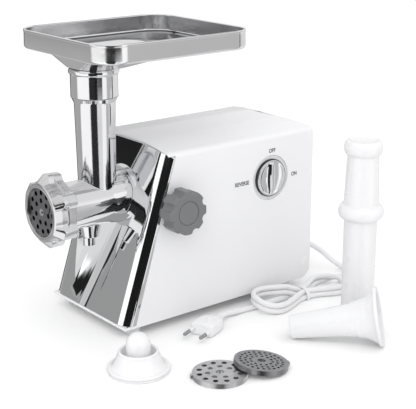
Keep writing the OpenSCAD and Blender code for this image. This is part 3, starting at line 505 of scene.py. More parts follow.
def choose(switch, off, on):
    """Takes one brightness or the other, by the kind of ray."""
    node = sky.new("ShaderNodeMix")
    sky_link(switch, node.inputs["Factor"])
    for socket, value in (("A", off), ("B", on)):
        if isinstance(value, float):
            node.inputs[socket].default_value = value
        else:
            sky_link(value, node.inputs[socket])
    return node.outputs["Result"]


seen = choose(rays.outputs["Is Glossy Ray"], soft_light, level)
seen = choose(rays.outputs["Is Camera Ray"], seen, backdrop_light)
sky["Background"].inputs["Color"].default_value = (1, 1, 1, 1)
sky_link(seen, sky["Background"].inputs["Strength"])

table_reach = 4.0
table_mesh = bpy.data.meshes.new("table")
corners = [(-table_reach, -table_reach, 0), (table_reach, -table_reach, 0), (table_reach, table_reach, 0),
           (-table_reach, table_reach, 0)]
table_mesh.from_pydata(corners, [], [(0, 1, 2, 3)])
table_mesh.materials.append(finish("table_white", (0.93, 0.93, 0.93), (0.92, 0.92, 0.92), 0.9, 0.95,
                                   relief=0.0))
table = bpy.data.objects.new("table", table_mesh)
table.visible_glossy = False
bpy.context.scene.collection.objects.link(table)


def soft_lamp(name, place, aim, size, power):
    lamp_data = bpy.data.lights.new(name, "AREA")
    lamp_data.size = size
    lamp_data.energy = power
    lamp = bpy.data.objects.new(name, lamp_data)
    lamp.location = place
    lamp.rotation_euler = (aim - place).to_track_quat("-Z", "Y").to_euler()
    lamp.visible_glossy = False
    bpy.context.scene.collection.objects.link(lamp)


soft_lamp("front_lamp", at(-900, -1100, 1300), at(60, 0, 100), 1.4, 9)
bpy.context.scene.view_settings.view_transform = "Standard"

# ---------------------------------------------------------------- housing and base
# The body is one glossy white moulding, open in front and below, with a recess for the switch.
# A flat base plate closes it, and four rubber feet are screwed through the plate.


def softened(node, width, segments=2, crease=28):
    """A copy of a CAD node's mesh whose hard edges are rounded over."""
    work = bmesh.new()
    work.from_mesh(frame["nodes"][node].data)
    bmesh.ops.remove_doubles(work, verts=work.verts, dist=2e-6)
    bmesh.ops.dissolve_limit(work, angle_limit=math.radians(0.4), verts=work.verts, edges=work.edges)
    mesh = bpy.data.meshes.new(node)
    work.to_mesh(mesh)
    work.free()
    for layer_name in ("custom_normal", "sharp_face", "sharp_edge"):
        if layer_name in mesh.attributes:
            mesh.attributes.remove(mesh.attributes[layer_name])
    helper = bpy.data.objects.new("helper", mesh)
    bpy.context.scene.collection.objects.link(helper)
    bevel = helper.modifiers.new("bevel", "BEVEL")
    bevel.width = width / 1000
    bevel.segments = segments
    bevel.limit_method = "ANGLE"
    bevel.angle_limit = math.radians(crease)
    bevel.use_clamp_overlap = False
    bpy.context.view_layer.update()
    result = bpy.data.meshes.new_from_object(helper.evaluated_get(bpy.context.evaluated_depsgraph_get()))
    bpy.data.objects.remove(helper)
    return result


def even_normals(piece):
    """Lets the large faces set the direction that light comes off a rounded edge."""
    normals = piece.modifiers.new("even_normals", "WEIGHTED_NORMAL")
    normals.keep_sharp = True
    normals.weight = 100


housing_gloss = finish("housing_gloss", (0.80, 0.80, 0.815), (0.785, 0.785, 0.80), 0.2, 0.28, patch=9,
                       grain=1100, relief=0.012, Coat_Weight=0.08, Coat_Roughness=0.06)
housing = place_mesh("housing_shell", softened("housing", 0.7, 3), housing_gloss, "chassis",
                     ["housing"])
even_normals(housing)

base_matt = finish("base_matt", (0.72, 0.72, 0.73), (0.68, 0.68, 0.69), 0.45, 0.6, patch=40, grain=700,
                   relief=0.08)
dress("base_plate", base_matt)

foot_rubber = finish("foot_rubber", (0.66, 0.66, 0.67), (0.58, 0.58, 0.59), 0.55, 0.7, patch=80, grain=900,
                     relief=0.12)
rubber_feet = place_mesh("rubber_feet", softened("feet", 0.9, 3), foot_rubber, "chassis",
                         ["feet"])
even_normals(rubber_feet)

# ---------------------------------------------------------------- front plate
# A pressed cover with a mirror plating, hooked over the front of the body. Its sides roll back,
# a scoop under the barrel leaves room for a bowl, and a short socket takes the grinding head.
plating = finish("mirror_plating", (0.86, 0.865, 0.875), (0.83, 0.835, 0.845), 0.02, 0.05, patch=12,
                 grain=500, relief=0.004, Metallic=1.0)
cover = place_mesh("front_cover", softened("front_plate", 0.5, 3), plating, "chassis",
                   ["front_plate"])
even_normals(cover)

# ---------------------------------------------------------------- grinding head
# One polished aluminium casting: the barrel with its locating flange, the feed tube with a
# shoulder and a rolled collar, and a lug below.
polished_cast = finish("polished_cast", (0.83, 0.83, 0.84), (0.76, 0.76, 0.775), 0.05, 0.12, patch=45,
                       grain=420, relief=0.02, Metallic=1.0)
head = place_mesh("grinder_head", softened("head_casting", 0.6, 3), polished_cast, "head",
                  ["head_casting"])
even_normals(head)

# ---------------------------------------------------------------- inside the head
# A cast auger on a steel shaft, with a steel knife on its square end; only the pin in the middle
# of the cutting plate shows, and the small round hole in its end is a black disc of painted shade.
bright_steel = finish("bright_steel", (0.70, 0.71, 0.73), (0.60, 0.61, 0.63), 0.12, 0.3, patch=120,
                      grain=600, relief=0.05, Metallic=1.0)
satin_cast = finish("satin_cast", (0.72, 0.72, 0.73), (0.64, 0.64, 0.65), 0.25, 0.4, patch=70, grain=500,
                    relief=0.08, Metallic=1.0)
dress("auger_shaft", bright_steel)
dress("cutting_knife", bright_steel)
dress("auger_screw", satin_cast)
barrel_z = 132
disc_front = at(-67, 0, barrel_z)
# Painted shade: a thin black disc on the pin's end stands for the shade in the small round hole there.
pin_hole_painted_shade = finish("pin_hole_painted_shade", (0.03, 0.03, 0.03), (0.05, 0.05, 0.05), 0.5, 0.7, relief=0.0)
shade_disc_r, shade_disc_deep = 1.15, 0.35
shade_disc_outline = [(0, 0), (shade_disc_r, 0), (shade_disc_r, shade_disc_deep), (0, shade_disc_deep)]
shade_disc_place = disc_front + Vector((-0.0009, -0.0011, 0.0002))
place_mesh("pin_end_painted_shade", turned(shade_disc_outline, shade_disc_place, (1, 0, 0), 24), pin_hole_painted_shade, "auger")

# ---------------------------------------------------------------- cutting plates
# Ground steel discs with round holes, a centre hole and a locating key. One is fitted in front
# of the knife and two spares lie on the table; one node tree drills all three.


def new_plate_tree():
    tree = bpy.data.node_groups.new("cutting_plate", "GeometryNodeTree")
    face = tree.interface
    for name in ("Radius", "Thickness", "Centre Hole", "Key Angle"):
        face.new_socket(name, in_out="INPUT", socket_type="NodeSocketFloat")
    for ring in ("Inner", "Middle", "Outer"):
        face.new_socket(f"{ring} Ring", in_out="INPUT", socket_type="NodeSocketFloat")
        face.new_socket(f"{ring} Hole", in_out="INPUT", socket_type="NodeSocketFloat")
        face.new_socket(f"{ring} Turn", in_out="INPUT", socket_type="NodeSocketFloat")
        face.new_socket(f"{ring} Count", in_out="INPUT", socket_type="NodeSocketInt")
    face.new_socket("Material", in_out="INPUT", socket_type="NodeSocketMaterial")
    face.new_socket("Plate", in_out="OUTPUT", socket_type="NodeSocketGeometry")
    nodes, link = tree.nodes, tree.links.new
    given, result = nodes.new("NodeGroupInput"), nodes.new("NodeGroupOutput")

    def cylinder(radius, depth, sides):
        node = nodes.new("GeometryNodeMeshCylinder")
        node.inputs["Vertices"].default_value = sides
        link(radius, node.inputs["Radius"])
        link(depth, node.inputs["Depth"])
        return node.outputs["Mesh"]

    def combined(**places):
        node = nodes.new("ShaderNodeCombineXYZ")
        for socket, value in places.items():
            link(value, node.inputs[socket])
        return node.outputs[0]

    through = nodes.new("ShaderNodeMath")
    through.operation = "MULTIPLY"
    through.inputs[1].default_value = 3
    link(given.outputs["Thickness"], through.inputs[0])
    cutters = nodes.new("GeometryNodeJoinGeometry")
    link(cylinder(given.outputs["Centre Hole"], through.outputs[0], 40), cutters.inputs[0])
    for ring in ("Inner", "Middle", "Outer"):
        circle = nodes.new("GeometryNodeMeshCircle")
        link(given.outputs[f"{ring} Count"], circle.inputs["Vertices"])
        link(given.outputs[f"{ring} Ring"], circle.inputs["Radius"])
        spun = nodes.new("GeometryNodeTransform")
        link(circle.outputs["Mesh"], spun.inputs["Geometry"])
        link(combined(Z=given.outputs[f"{ring} Turn"]), spun.inputs["Rotation"])
        drilled = nodes.new("GeometryNodeInstanceOnPoints")
        link(spun.outputs["Geometry"], drilled.inputs["Points"])
        link(cylinder(given.outputs[f"{ring} Hole"], through.outputs[0], 24), drilled.inputs["Instance"])
        real = nodes.new("GeometryNodeRealizeInstances")
        link(drilled.outputs["Instances"], real.inputs["Geometry"])
        link(real.outputs["Geometry"], cutters.inputs[0])
    drilling = nodes.new("GeometryNodeMeshBoolean")
    drilling.operation = "DIFFERENCE"
    link(cylinder(given.outputs["Radius"], given.outputs["Thickness"], 120), drilling.inputs["Mesh 1"])
    link(cutters.outputs[0], drilling.inputs["Mesh 2"])
    key = nodes.new("GeometryNodeMeshCube")
    key.inputs["Size"].default_value = (0.0034, 0.005, 0.0032)
    key_out = nodes.new("GeometryNodeTransform")
    link(key.outputs["Mesh"], key_out.inputs["Geometry"])
    link(combined(X=given.outputs["Radius"]), key_out.inputs["Translation"])
    key_turned = nodes.new("GeometryNodeTransform")
    link(key_out.outputs["Geometry"], key_turned.inputs["Geometry"])
    link(combined(Z=given.outputs["Key Angle"]), key_turned.inputs["Rotation"])
    keyed = nodes.new("GeometryNodeMeshBoolean")
    keyed.operation = "UNION"
    link(drilling.outputs["Mesh"], keyed.inputs["Mesh 2"])
    link(key_turned.outputs["Geometry"], keyed.inputs["Mesh 2"])
    whole = nodes.new("GeometryNodeRealizeInstances")
    link(keyed.outputs["Mesh"], whole.inputs["Geometry"])
    painted = nodes.new("GeometryNodeSetMaterial")
    link(whole.outputs["Geometry"], painted.inputs["Geometry"])
    link(given.outputs["Material"], painted.inputs["Material"])
    link(painted.outputs["Geometry"], result.inputs["Plate"])
    return tree


plate_tree = new_plate_tree()
disc_r, centre_hole_r, disc_edge = 26.85, 4, 0.3


def drilled_plate(name, material, place, body, slot, node, thickness, key_angle, **rings):
    """A drilled plate, its lower face at place's origin."""
    helper = bpy.data.objects.new("helper", bpy.data.meshes.new("empty"))
    bpy.context.scene.collection.objects.link(helper)
    drill = helper.modifiers.new("drill", "NODES")
    drill.node_group = plate_tree
    values = {"Radius": disc_r / 1000, "Thickness": thickness / 1000, "Centre Hole": centre_hole_r / 1000,
              "Key Angle": math.radians(key_angle), "Material": material}
    for ring, (ring_r, count, hole_r, turn) in rings.items():
        values[f"{ring} Ring"] = ring_r / 1000
        values[f"{ring} Count"] = count
        values[f"{ring} Hole"] = hole_r / 1000
        values[f"{ring} Turn"] = turn * 2 * math.pi / count
    for item in plate_tree.interface.items_tree:
        if item.in_out == "INPUT":
            drill[item.identifier] = values[item.name]
    bevel = helper.modifiers.new("bevel", "BEVEL")
    bevel.width = disc_edge / 1000
    bevel.segments = 2
    bevel.angle_limit = math.radians(50)
    bpy.context.view_layer.update()
    mesh = bpy.data.meshes.new_from_object(helper.evaluated_get(bpy.context.evaluated_depsgraph_get()))
    bpy.data.objects.remove(helper)
    mesh.transform(place @ Matrix.Translation((0, 0, thickness / 2000)))
    plate = place_mesh(name, mesh, material, body, [node])
    even_normals(plate)
    return plate


# ring radius, holes, hole radius and turn; a coarse plate's middle and outer rings are one
coarse = {"Inner": (12, 7, 2.6, 0), "Middle": (20.3, 12, 2.6, 0.3), "Outer": (20.3, 12, 2.6, 0.3)}
fine = {"Inner": (10.8, 12, 1.5, 0), "Middle": (15.8, 18, 1.5, 0.3), "Outer": (20.8, 24, 1.5, 0.6)}
ground_steel = finish("ground_steel", (0.27, 0.27, 0.28), (0.21, 0.21, 0.22), 0.3, 0.42, patch=60,
                      grain=700, relief=0.12, stretch=(1, 6, 1), Metallic=1.0)
spare_steel = finish("spare_steel", (0.62, 0.62, 0.63), (0.52, 0.52, 0.53), 0.28, 0.4, patch=60, grain=700,
                     relief=0.1, stretch=(1, 5, 1), Metallic=1.0)
dark_spare = finish("dark_spare", (0.36, 0.36, 0.37), (0.29, 0.29, 0.30), 0.3, 0.42, patch=60, grain=700,
                    relief=0.1, stretch=(1, 5, 1), Metallic=1.0)
fitted_turn = math.radians(20)
fitted_t, spare_t = 6, 5
on_barrel = (Matrix.Translation(disc_front) @ Matrix.Rotation(math.radians(90), 4, "Y")
             @ Matrix.Rotation(fitted_turn, 4, "Z"))
drilled_plate("fitted_plate", ground_steel, on_barrel, "disc", "plate_steel", "cutting_plate", fitted_t,
              160, **coarse)
coarse_middle = at(8, -192)
drilled_plate("spare_coarse_plate", spare_steel, Matrix.Translation(coarse_middle), "spare_coarse", "steel",
              "coarse_plate", spare_t, 150, **coarse)
fine_middle = at(50, -203)
lean_line = coarse_middle - fine_middle
lean_rise = 5.3
lean_arm = 0.027
lean_angle = math.asin(lean_rise / (lean_line.length * 1000))
lean_turn = math.atan2(lean_line.y, lean_line.x)
leaning = (Matrix.Translation(fine_middle + Vector((0, 0, 0.0001))) @ Matrix.Rotation(lean_turn, 4, "Z")
           @ Matrix.Translation((-lean_arm, 0, 0)) @ Matrix.Rotation(-lean_angle, 4, "Y")
           @ Matrix.Translation((lean_arm, 0, 0)))
drilled_plate("spare_fine_plate", dark_spare, leaning, "spare_fine", "plate_steel", "fine_plate", spare_t,
              170, **fine)

# ---------------------------------------------------------------- ring nut
# A satin casting that holds the cutting plate: a double front rim, and six swept grips whose
# front faces slope back to rounded tips.
ring_satin = finish("ring_satin", (0.77, 0.77, 0.78), (0.70, 0.70, 0.71), 0.14, 0.26, patch=60, grain=380,
                    relief=0.06, Metallic=1.0)
grip_count = 6
grip_shape = [(0, 1), (3, 1), (5.5, 0.98), (7.5, 0.92), (9, 0.82), (11, 0.6), (13, 0.32), (14.5, 0.14),
              (16, 0.04), (18, 0), (21, 0), (25, 0), (30, 0)]


def grip_angles():
    """Angles round the nut with the height of the grips at each, from 0 to 1."""
    sector = [(-a, h) for a, h in reversed(grip_shape)] + grip_shape[1:-1]
    return [(math.radians(i * 360 / grip_count + a), h) for i in range(grip_count) for a, h in sector]


def nut_ring(x, radius, grip=0.0):
    """One outline of the nut, with its grips standing out by the amount given."""
    return [at(x, (radius + grip * h) * math.sin(a), barrel_z - (radius + grip * h) * math.cos(a))
            for a, h in grip_angles()]


nut_rings = [
    nut_ring(-67.2, 30.4), nut_ring(-67.2, 25.1), nut_ring(-69.2, 25.1), nut_ring(-69.9, 25.5),
    nut_ring(-70, 25.9), nut_ring(-70, 26.6), nut_ring(-69.8, 26.8), nut_ring(-69.2, 27),
    nut_ring(-69.2, 27.3), nut_ring(-69.8, 27.5), nut_ring(-69.9, 27.7), nut_ring(-69.8, 29),
    nut_ring(-69.3, 29.8, 0.2), nut_ring(-68.8, 30.4, 0.7), nut_ring(-61.9, 31, 7.3),
    nut_ring(-61.4, 31, 7.8), nut_ring(-60.7, 31, 8), nut_ring(-55.8, 31, 8), nut_ring(-55.4, 31.1, 7.8),
    nut_ring(-55.1, 32.4, 6.3), nut_ring(-54.6, 32.8, 5.9), nut_ring(-46.6, 32.6, 5.9),
    nut_ring(-45.9, 32.2, 5.7), nut_ring(-45.6, 31.6, 5), nut_ring(-45.6, 30.5),
]
ring_nut = place_mesh("grip_ring", lofted(nut_rings, wrap=True), ring_satin, "ring",
                      ["ring_nut"], crease=32)
even_normals(ring_nut)

# ---------------------------------------------------------------- tray
# Pressed from one sheet of steel: upright walls with a rolled rim and wide corners, a dished
# floor, and a spout that drops into the feed tube's cup.
tray_mid_x, tray_len, tray_w, tray_corner = 51, 188, 167, 28
rim_z, pan_z, seat_z = 307, 287, 273.5
spout_r, spout_foot_z = 21.7, 253
tray_sheet = 1.2


def rounded_ring(inset, z, blend=0.0, round_r=0.0):
    """The tray's outline drawn in, or a blend of it with the spout's circle."""
    arc = 14
    half_l, half_w, radius = tray_len / 2 - inset, tray_w / 2 - inset, max(tray_corner - inset, 1)
    half_l, half_w, radius = (value * (1 - blend) + round_r * blend for value in (half_l, half_w, radius))
    middle = tray_mid_x * (1 - blend)
    ring = []
    for corner, (sx, sy) in enumerate(((1, 1), (-1, 1), (-1, -1), (1, -1))):
        for k in range(arc + 1):
            a = math.radians(90 * corner + 90 * k / arc)
            ring.append(at(middle + sx * (half_l - radius) + radius * math.cos(a),
                           sy * (half_w - radius) + radius * math.sin(a), z))
    return ring


def arc_rings(inset, z, radius, first, last, steps=5):
    """Rings round a bend whose centre lies at the inset and height given."""
    turn = [math.radians(first + (last - first) * k / steps) for k in range(steps + 1)]
    return [rounded_ring(inset - radius * math.cos(a), z + radius * math.sin(a)) for a in turn]


bend_r, rim_r = 4, 1.25
tray_rings = [
    *arc_rings(bend_r, pan_z + bend_r, bend_r, 0, -80, 7),
    rounded_ring(bend_r + 3, pan_z - 0.5), rounded_ring(bend_r + 3, pan_z - 3.5, 0.5, spout_r),
    rounded_ring(6, seat_z - 0.2, 0.9, spout_r + 2),
    rounded_ring(6, seat_z - 0.6, 1, spout_r + 1.4), rounded_ring(6, seat_z - 1.6, 1, spout_r),
    rounded_ring(6, spout_foot_z + 0.3, 1, spout_r), rounded_ring(6, spout_foot_z, 1, spout_r - 0.4),
    rounded_ring(6, spout_foot_z, 1, spout_r - 1.2), rounded_ring(6, spout_foot_z + 0.3, 1, spout_r - 1.5),
    rounded_ring(6, seat_z, 1, spout_r - 1.5), rounded_ring(6, seat_z + 1, 1, spout_r - 0.2),
    rounded_ring(6, seat_z + tray_sheet + 0.4, 0.9, spout_r + 2),
    rounded_ring(bend_r + 3, pan_z + 0.7, 0.5, spout_r), rounded_ring(bend_r + 4, pan_z + tray_sheet - 0.1),
    *arc_rings(bend_r, pan_z + bend_r, bend_r - tray_sheet, -80, 0, 7),
    rounded_ring(tray_sheet, rim_z - 2.6), rounded_ring(2.4, rim_z - 2.5),
    *arc_rings(rim_r, rim_z - rim_r, rim_r, 180, 0, 8),
    rounded_ring(0, rim_z - 2.4), rounded_ring(0.35, rim_z - 2.9),
]
tray_polish = finish("tray_polish", (0.86, 0.86, 0.87), (0.80, 0.80, 0.81), 0.05, 0.11, patch=26, grain=500,
                     relief=0.015, Metallic=1.0)
tray_satin = finish("tray_satin", (0.80, 0.80, 0.81), (0.70, 0.70, 0.71), 0.15, 0.25, patch=60, grain=1500,
                    relief=0.07, stretch=(1, 1, 3), Metallic=1.0)
tray_mesh = lofted(tray_rings, wrap=True)
place_mesh("feed_tray", tray_mesh, tray_polish, "hopper", ["tray"], crease=35)
tray_mesh.materials.append(tray_satin)
# The dished floor is the tray's own polished steel with its base colour darkened: a painted dark reflection.
tray_floor_painted_reflection = finish("tray_floor_painted_reflection", (0.2, 0.2, 0.21), (0.17, 0.17, 0.18), 0.05, 0.11, patch=26, grain=500,
                    relief=0.015, Metallic=1.0)
tray_mesh.materials.append(tray_floor_painted_reflection)
wall_edge = 0.9
wall_floor = at(0, 0, pan_z + bend_r).z
sink_z = at(0, 0, pan_z - 1).z
# Upward faces of the dished floor take the painted dark reflection (slot 2); upright inner walls take the satin
# finish (slot 1).
for face in tray_mesh.polygons:
    if sink_z < face.center.z < wall_floor and face.normal.z > 0.5:
        face.material_index = 2
    across_x = abs(face.center.x - at(tray_mid_x, 0).x) * 1000 < tray_len / 2 - wall_edge
    across_y = abs(face.center.y - crossing.y) * 1000 < tray_w / 2 - wall_edge
    if face.center.z > wall_floor and across_x and across_y and abs(face.normal.z) < 0.3:
        face.material_index = 1

# ---------------------------------------------------------------- locking knob
# A grey moulded grip with eight scallops and an inset disc. Its bolt screws through the side of
# the body and clamps the grinding head in its socket.
knob_matt = finish("knob_matt", (0.172, 0.174, 0.182), (0.154, 0.156, 0.164), 0.3, 0.42, patch=60,
                   grain=1100, relief=0.08)
knob_x, knob_z = 46, barrel_z
knob_r, knob_back, knob_face = 23.2, 77.5, 96.5
bolt_end, bolt_r = 27, 4.9
scallop_count, scallop_r, scallop_out = 8, 5.4, 25.4


def knob_ring(out, grow, depth=1.0):
    """One outline of the grip at a distance from the middle plane; depth fades the scallops."""
    ring = []
    for k in range(360):
        a = math.radians(k)
        off = (k / 360 * scallop_count - 0.5) % 1
        off = math.radians(min(off, 1 - off) * 360 / scallop_count)
        radius = knob_r
        reach = scallop_r ** 2 - (scallop_out * math.sin(off)) ** 2
        if reach > 0:
            cut = scallop_out * math.cos(off) - math.sqrt(reach)
            soft = 0.35
            mix = min(max(0.5 + (knob_r - cut) / (2 * soft), 0), 1)
            cut = knob_r * (1 - mix) + cut * mix - soft * mix * (1 - mix) * 0.5
            radius = knob_r + (min(cut, knob_r) - knob_r) * depth
        radius += grow
        ring.append(at(knob_x + radius * math.cos(a), -out, knob_z + radius * math.sin(a)))
    return ring


def knob_circle(out, radius):
    """A plain circle about the knob's axis, at a distance from the middle plane."""
    turns = [math.radians(k) for k in range(360)]
    return [at(knob_x + radius * math.cos(a), -out, knob_z + radius * math.sin(a)) for a in turns]


knob_rings = [
    knob_circle(bolt_end, bolt_r), knob_circle(knob_back - 1, bolt_r), knob_circle(knob_back - 1, 7.4),
    knob_circle(knob_back, 7.5),
    knob_ring(knob_back, -1.4), knob_ring(knob_back + 0.4, -0.5), knob_ring(knob_back + 1.2, 0),
    knob_ring(knob_face - 1.9, 0), knob_ring(knob_face - 1, -0.25), knob_ring(knob_face - 0.4, -0.8),
    knob_ring(knob_face - 0.08, -1.7), knob_ring(knob_face, -2.6, 0.97), knob_circle(knob_face, 13.6),
    knob_circle(knob_face - 0.05, 13.1), knob_circle(knob_face - 0.35, 12.8),
    knob_circle(knob_face - 1, 12.7), knob_circle(knob_face - 1.05, 12.2),
    knob_circle(knob_face - 0.55, 11.9), knob_circle(knob_face - 0.4, 11.5),
    knob_circle(knob_face - 0.4, 0.5),
]
locking_knob = place_mesh("locking_knob", lofted(knob_rings, caps=True), knob_matt, "knob",
                          ["lock_knob"], crease=40)
even_normals(locking_knob)

# ---------------------------------------------------------------- rotary switch
# A plated disc in a shallow pocket of the body's side, with a bowed grip across it and a black
# seal round it. The three positions are printed on the body.
switch_x, switch_z = 180, 140
pocket_y = 67.5
switch_plating = finish("switch_plating", (0.86, 0.865, 0.875), (0.82, 0.825, 0.835), 0.03, 0.07, patch=40,
                        relief=0.01, Metallic=1.0)
disc_outline = [(0, -11), (3.9, -11), (3.9, 0.4), (19.4, 0.4), (20, 0.9), (20, 2.9), (19.85, 3.4),
                (19.4, 3.7), (18.8, 3.7), (18.2, 3.3), (15, 2.5), (11, 1.9), (6, 1.6), (0, 1.5)]
switch_mesh = bmesh.new()
switch_mesh.from_mesh(turned(disc_outline, at(switch_x, -pocket_y, switch_z), (0, -1, 0), 128))
grip_h, grip_half, grip_reach = 4.6, 7, 19
grip_bow = math.radians(62)


def grip_section(along):
    """A section across the bowed grip; it narrows and drops towards its ends."""
    reach = abs(along) / grip_reach
    half = grip_half * (1 - 0.4 * reach ** 2)
    height = grip_h * (1 - 0.25 * reach ** 2 - 0.7 * reach ** 16)
    ring = []
    for k in range(33):
        a = grip_bow * (k / 16 - 1)
        rise = (math.cos(a) - math.cos(grip_bow)) / (1 - math.cos(grip_bow))
        ring.append(at(switch_x + half * math.sin(a) / math.sin(grip_bow),
                       -(pocket_y + 1.7 + height * rise), switch_z + along))
    return ring


grip_rows = [grip_section(18.9 * math.sin(math.radians(-90 + 180 * k / 44))) for k in range(45)]
switch_mesh.from_mesh(lofted(grip_rows, caps=True))
switch_data = bpy.data.meshes.new("switch")
switch_mesh.to_mesh(switch_data)
switch_mesh.free()
place_mesh("rotary_switch", switch_data, switch_plating, "dial", ["switch_dial"],
           crease=38)
seal_black = finish("seal_black", (0.02, 0.02, 0.02), (0.03, 0.03, 0.03), 0.35, 0.5, relief=0.02)
seal_outline = [(20.15, 0), (20.9, 0), (20.9, 2.6), (20.7, 3), (20.3, 3), (20.15, 2.8)]
place_mesh("switch_seal", turned(seal_outline, at(switch_x, -pocket_y, switch_z), (0, -1, 0), 128, True),
           seal_black, "chassis", ["dial_seal"])

ink = finish("printed_ink", (0.035, 0.035, 0.038), (0.05, 0.05, 0.053), 0.45, 0.6, relief=0.02)
wall_y = 69.5
letter_h, letter_squeeze = 4.3, 0.86
letter_weight, letter_depth = 0.00017, 0.00004
for word, x, z in (("OFF", 1.4, 30.2), ("ON", 34.6, -1.2), ("REVERSE", -41.2, 0)):
    lettering = bpy.data.curves.new(word.lower(), "FONT")
    lettering.body = word
    lettering.align_x = "CENTER"
    lettering.align_y = "CENTER"
    lettering.size = letter_h / 0.7 / 1000
    lettering.offset = letter_weight
    lettering.extrude = letter_depth
    helper = bpy.data.objects.new("helper", lettering)
    bpy.context.scene.collection.objects.link(helper)
    bpy.context.view_layer.update()
    letters = bpy.data.meshes.new_from_object(helper.evaluated_get(bpy.context.evaluated_depsgraph_get()))
    bpy.data.objects.remove(helper)
    on_wall = Matrix.Translation(at(switch_x + x, -wall_y - 0.03, switch_z + z))
    upright = Matrix.Rotation(math.radians(90), 4, "X")
    letters.transform(on_wall @ upright @ Matrix.Diagonal((letter_squeeze, 1, 1, 1)))
    place_mesh(f"word_{word.lower()}", letters, ink, "chassis")

# ---------------------------------------------------------------- pusher
# A white moulded plunger for the feed tube. A bulged collar stops it at the tray, and it is held
# by the bulged cap.
pusher_outline = [(0, 0.4), (14.5, 0.4), (15.4, 0), (16.4, 0), (17, 0.6), (17.2, 1.6), (17.2, 110),
                  (17.3, 113), (18.4, 114.4), (21, 115.3), (23, 117.6), (24, 121.4), (23.6, 125.2),
                  (22, 128), (19.8, 129.6), (18.5, 130.4), (18.3, 132), (16.3, 181), (16.4, 182.6),
                  (17.8, 183.6), (19.3, 185.6), (20, 189.2), (19.8, 192.6), (18.8, 195.6), (17, 197.6),
                  (15.4, 198), (13.6, 197.4), (11, 196.7), (0, 196.4)]
smooth_pusher = round_corners(pusher_outline, 2.2, 3)
pusher_foot = at(211, -176)
place_mesh("plunger", turned(smooth_pusher, pusher_foot), white_moulding, "pusher",
           ["pusher"], crease=40)

# ---------------------------------------------------------------- sausage tube
# A thin white moulded spout lying on the table, flared to a flat rim that the ring nut clamps in
# place of a cutting plate.
spout_tip_r, spout_mouth_r, spout_len = 12.5, 31, 92
spout_lie = math.atan((spout_mouth_r - spout_tip_r) / spout_len)
spout_turn = math.radians(-49)
spout_axis = Vector((math.cos(spout_lie) * math.cos(spout_turn), math.cos(spout_lie) * math.sin(spout_turn),
                     math.sin(spout_lie)))
spout_outline = [(10.4, 0), (11.4, 0.2), (12.1, 1), (12.45, 2.4), (14.2, 30), (15.6, 48), (17.2, 62),
                 (19.4, 72), (22.4, 80), (26.4, 86), (28.6, 88.2), (30.2, 88.8), (30.5, 89.5), (30.5, 91.3),
                 (30.1, 92), (29.2, 92.2), (26.2, 92), (25.6, 91.4), (24.6, 87), (21.2, 79), (18, 71),
                 (15.6, 61), (13.9, 48), (12.2, 30), (10, 1), (10, 0.3)]
spout_origin = at(122, -168, spout_tip_r)
place_mesh("filling_spout", turned(round_corners(spout_outline, 1.2, 3, True), spout_origin, spout_axis,
                                   128, True),
           white_moulding, "filler", ["sausage_tube"], crease=40)

# ---------------------------------------------------------------- kebbe set
# Two white mouldings that shape filled shells: a domed former stands in the recess of a cone on
# a two-step base.
kebbe_place = at(-45, -133)
cone_outline = [(7.6, 0), (29.2, 0), (29.7, 0.4), (29.7, 1.8), (29.2, 2.3), (28.9, 2.5), (28.9, 2.8),
                (29.9, 3), (30.5, 3.4), (30.5, 4.6), (30.1, 5.3), (29, 5.7), (27.4, 5.9), (26.6, 6.4),
                (25, 8.2), (22.8, 12), (21, 16), (19.9, 19), (19.7, 20.4), (19.5, 21.4), (18.7, 22),
                (17.6, 21.9), (16.9, 21), (15.2, 13.1), (7.6, 13.1)]
place_mesh("kebbe_base_cone", turned(round_corners(cone_outline, 0.9, 3, True), kebbe_place, (0, 0, 1), 128,
                                     True),
           white_moulding, "kebbe_base", ["kebbe_cone"], crease=40)
dome_r, dome_z = 12, 28
dome = [(dome_r * math.cos(math.radians(a)), dome_z + dome_r * math.sin(math.radians(a))) for a in range(0,
                                                                                                         90,
                                                                                                         6)]
former_outline = [(0, 3), (7, 3), (7, 13.4), (11.4, 13.4), (12, 14), *dome, (0, dome_z + dome_r)]
place_mesh("kebbe_dome", turned(former_outline, kebbe_place, (0, 0, 1), 96), white_moulding, "kebbe_top",
           ["kebbe_former"], crease=40)

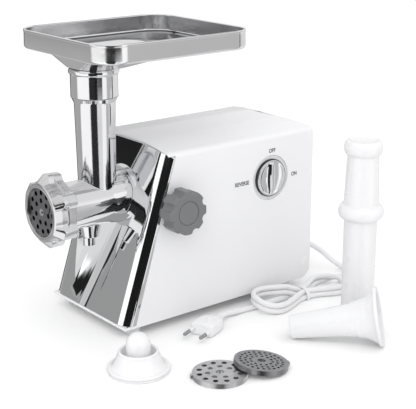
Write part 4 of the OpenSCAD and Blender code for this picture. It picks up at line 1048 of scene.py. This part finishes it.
# ---------------------------------------------------------------- works inside the body
# Motor, gears, gearbox, switch body and fixings, all hidden by the housing. They keep their own
# shapes, and each takes the finish of what it is made of.
cast_case = finish("cast_case", (0.50, 0.51, 0.53), (0.42, 0.43, 0.45), 0.4, 0.55, patch=50, grain=500,
                   relief=0.15, Metallic=1.0)
nylon = finish("gear_nylon", (0.83, 0.81, 0.72), (0.78, 0.75, 0.66), 0.4, 0.5, patch=60, relief=0.05)
stacked_sheet = finish("stacked_sheet", (0.25, 0.26, 0.28), (0.18, 0.19, 0.21), 0.35, 0.5, patch=80,
                       grain=400, relief=0.3, stretch=(12, 1, 1), Metallic=1.0)
winding = finish("winding_wire", (0.62, 0.28, 0.12), (0.48, 0.20, 0.08), 0.25, 0.4, patch=90, grain=500,
                 relief=0.3, stretch=(1, 5, 5), Metallic=1.0)
brass = finish("brass", (0.78, 0.60, 0.27), (0.66, 0.49, 0.21), 0.2, 0.35, patch=90, relief=0.05,
               Metallic=1.0)
black_moulding = finish("black_moulding", (0.03, 0.03, 0.032), (0.045, 0.045, 0.048), 0.4, 0.55,
                        relief=0.06)
carbon = finish("carbon", (0.05, 0.05, 0.05), (0.09, 0.09, 0.09), 0.6, 0.75, relief=0.2)
by_slot = {"steel": bright_steel, "case_aluminium": cast_case, "lamination": stacked_sheet,
           "gear_nylon": nylon, "enamelled_copper": winding, "brass": brass,
           "black_plastic": black_moulding, "carbon": carbon}
shown_as_cad = ["base_screws", "neck_sleeve", "gearbox_case", "gearbox_cover", "gearbox_screws",
                "idler_shaft", "motor_frame", "motor_core", "field_coils", "motor_bearings",
                "carbon_brushes", "brush_holders", "switch_body", "lock_insert", "rotor_core",
                "rotor_shaft", "rotor_windings", "commutator", "motor_pinion", "cooling_fan", "idler_gear",
                "output_gear", "output_coupling", "thrust_washer", "lock_pad"]
slot_of = {part["node"]: part["material_slot"] for part in frame["record"]["subparts"]}
for node in shown_as_cad:
    dress(node, by_slot[slot_of[node]])

# ---------------------------------------------------------------- end
bpy.context.view_layer.update()
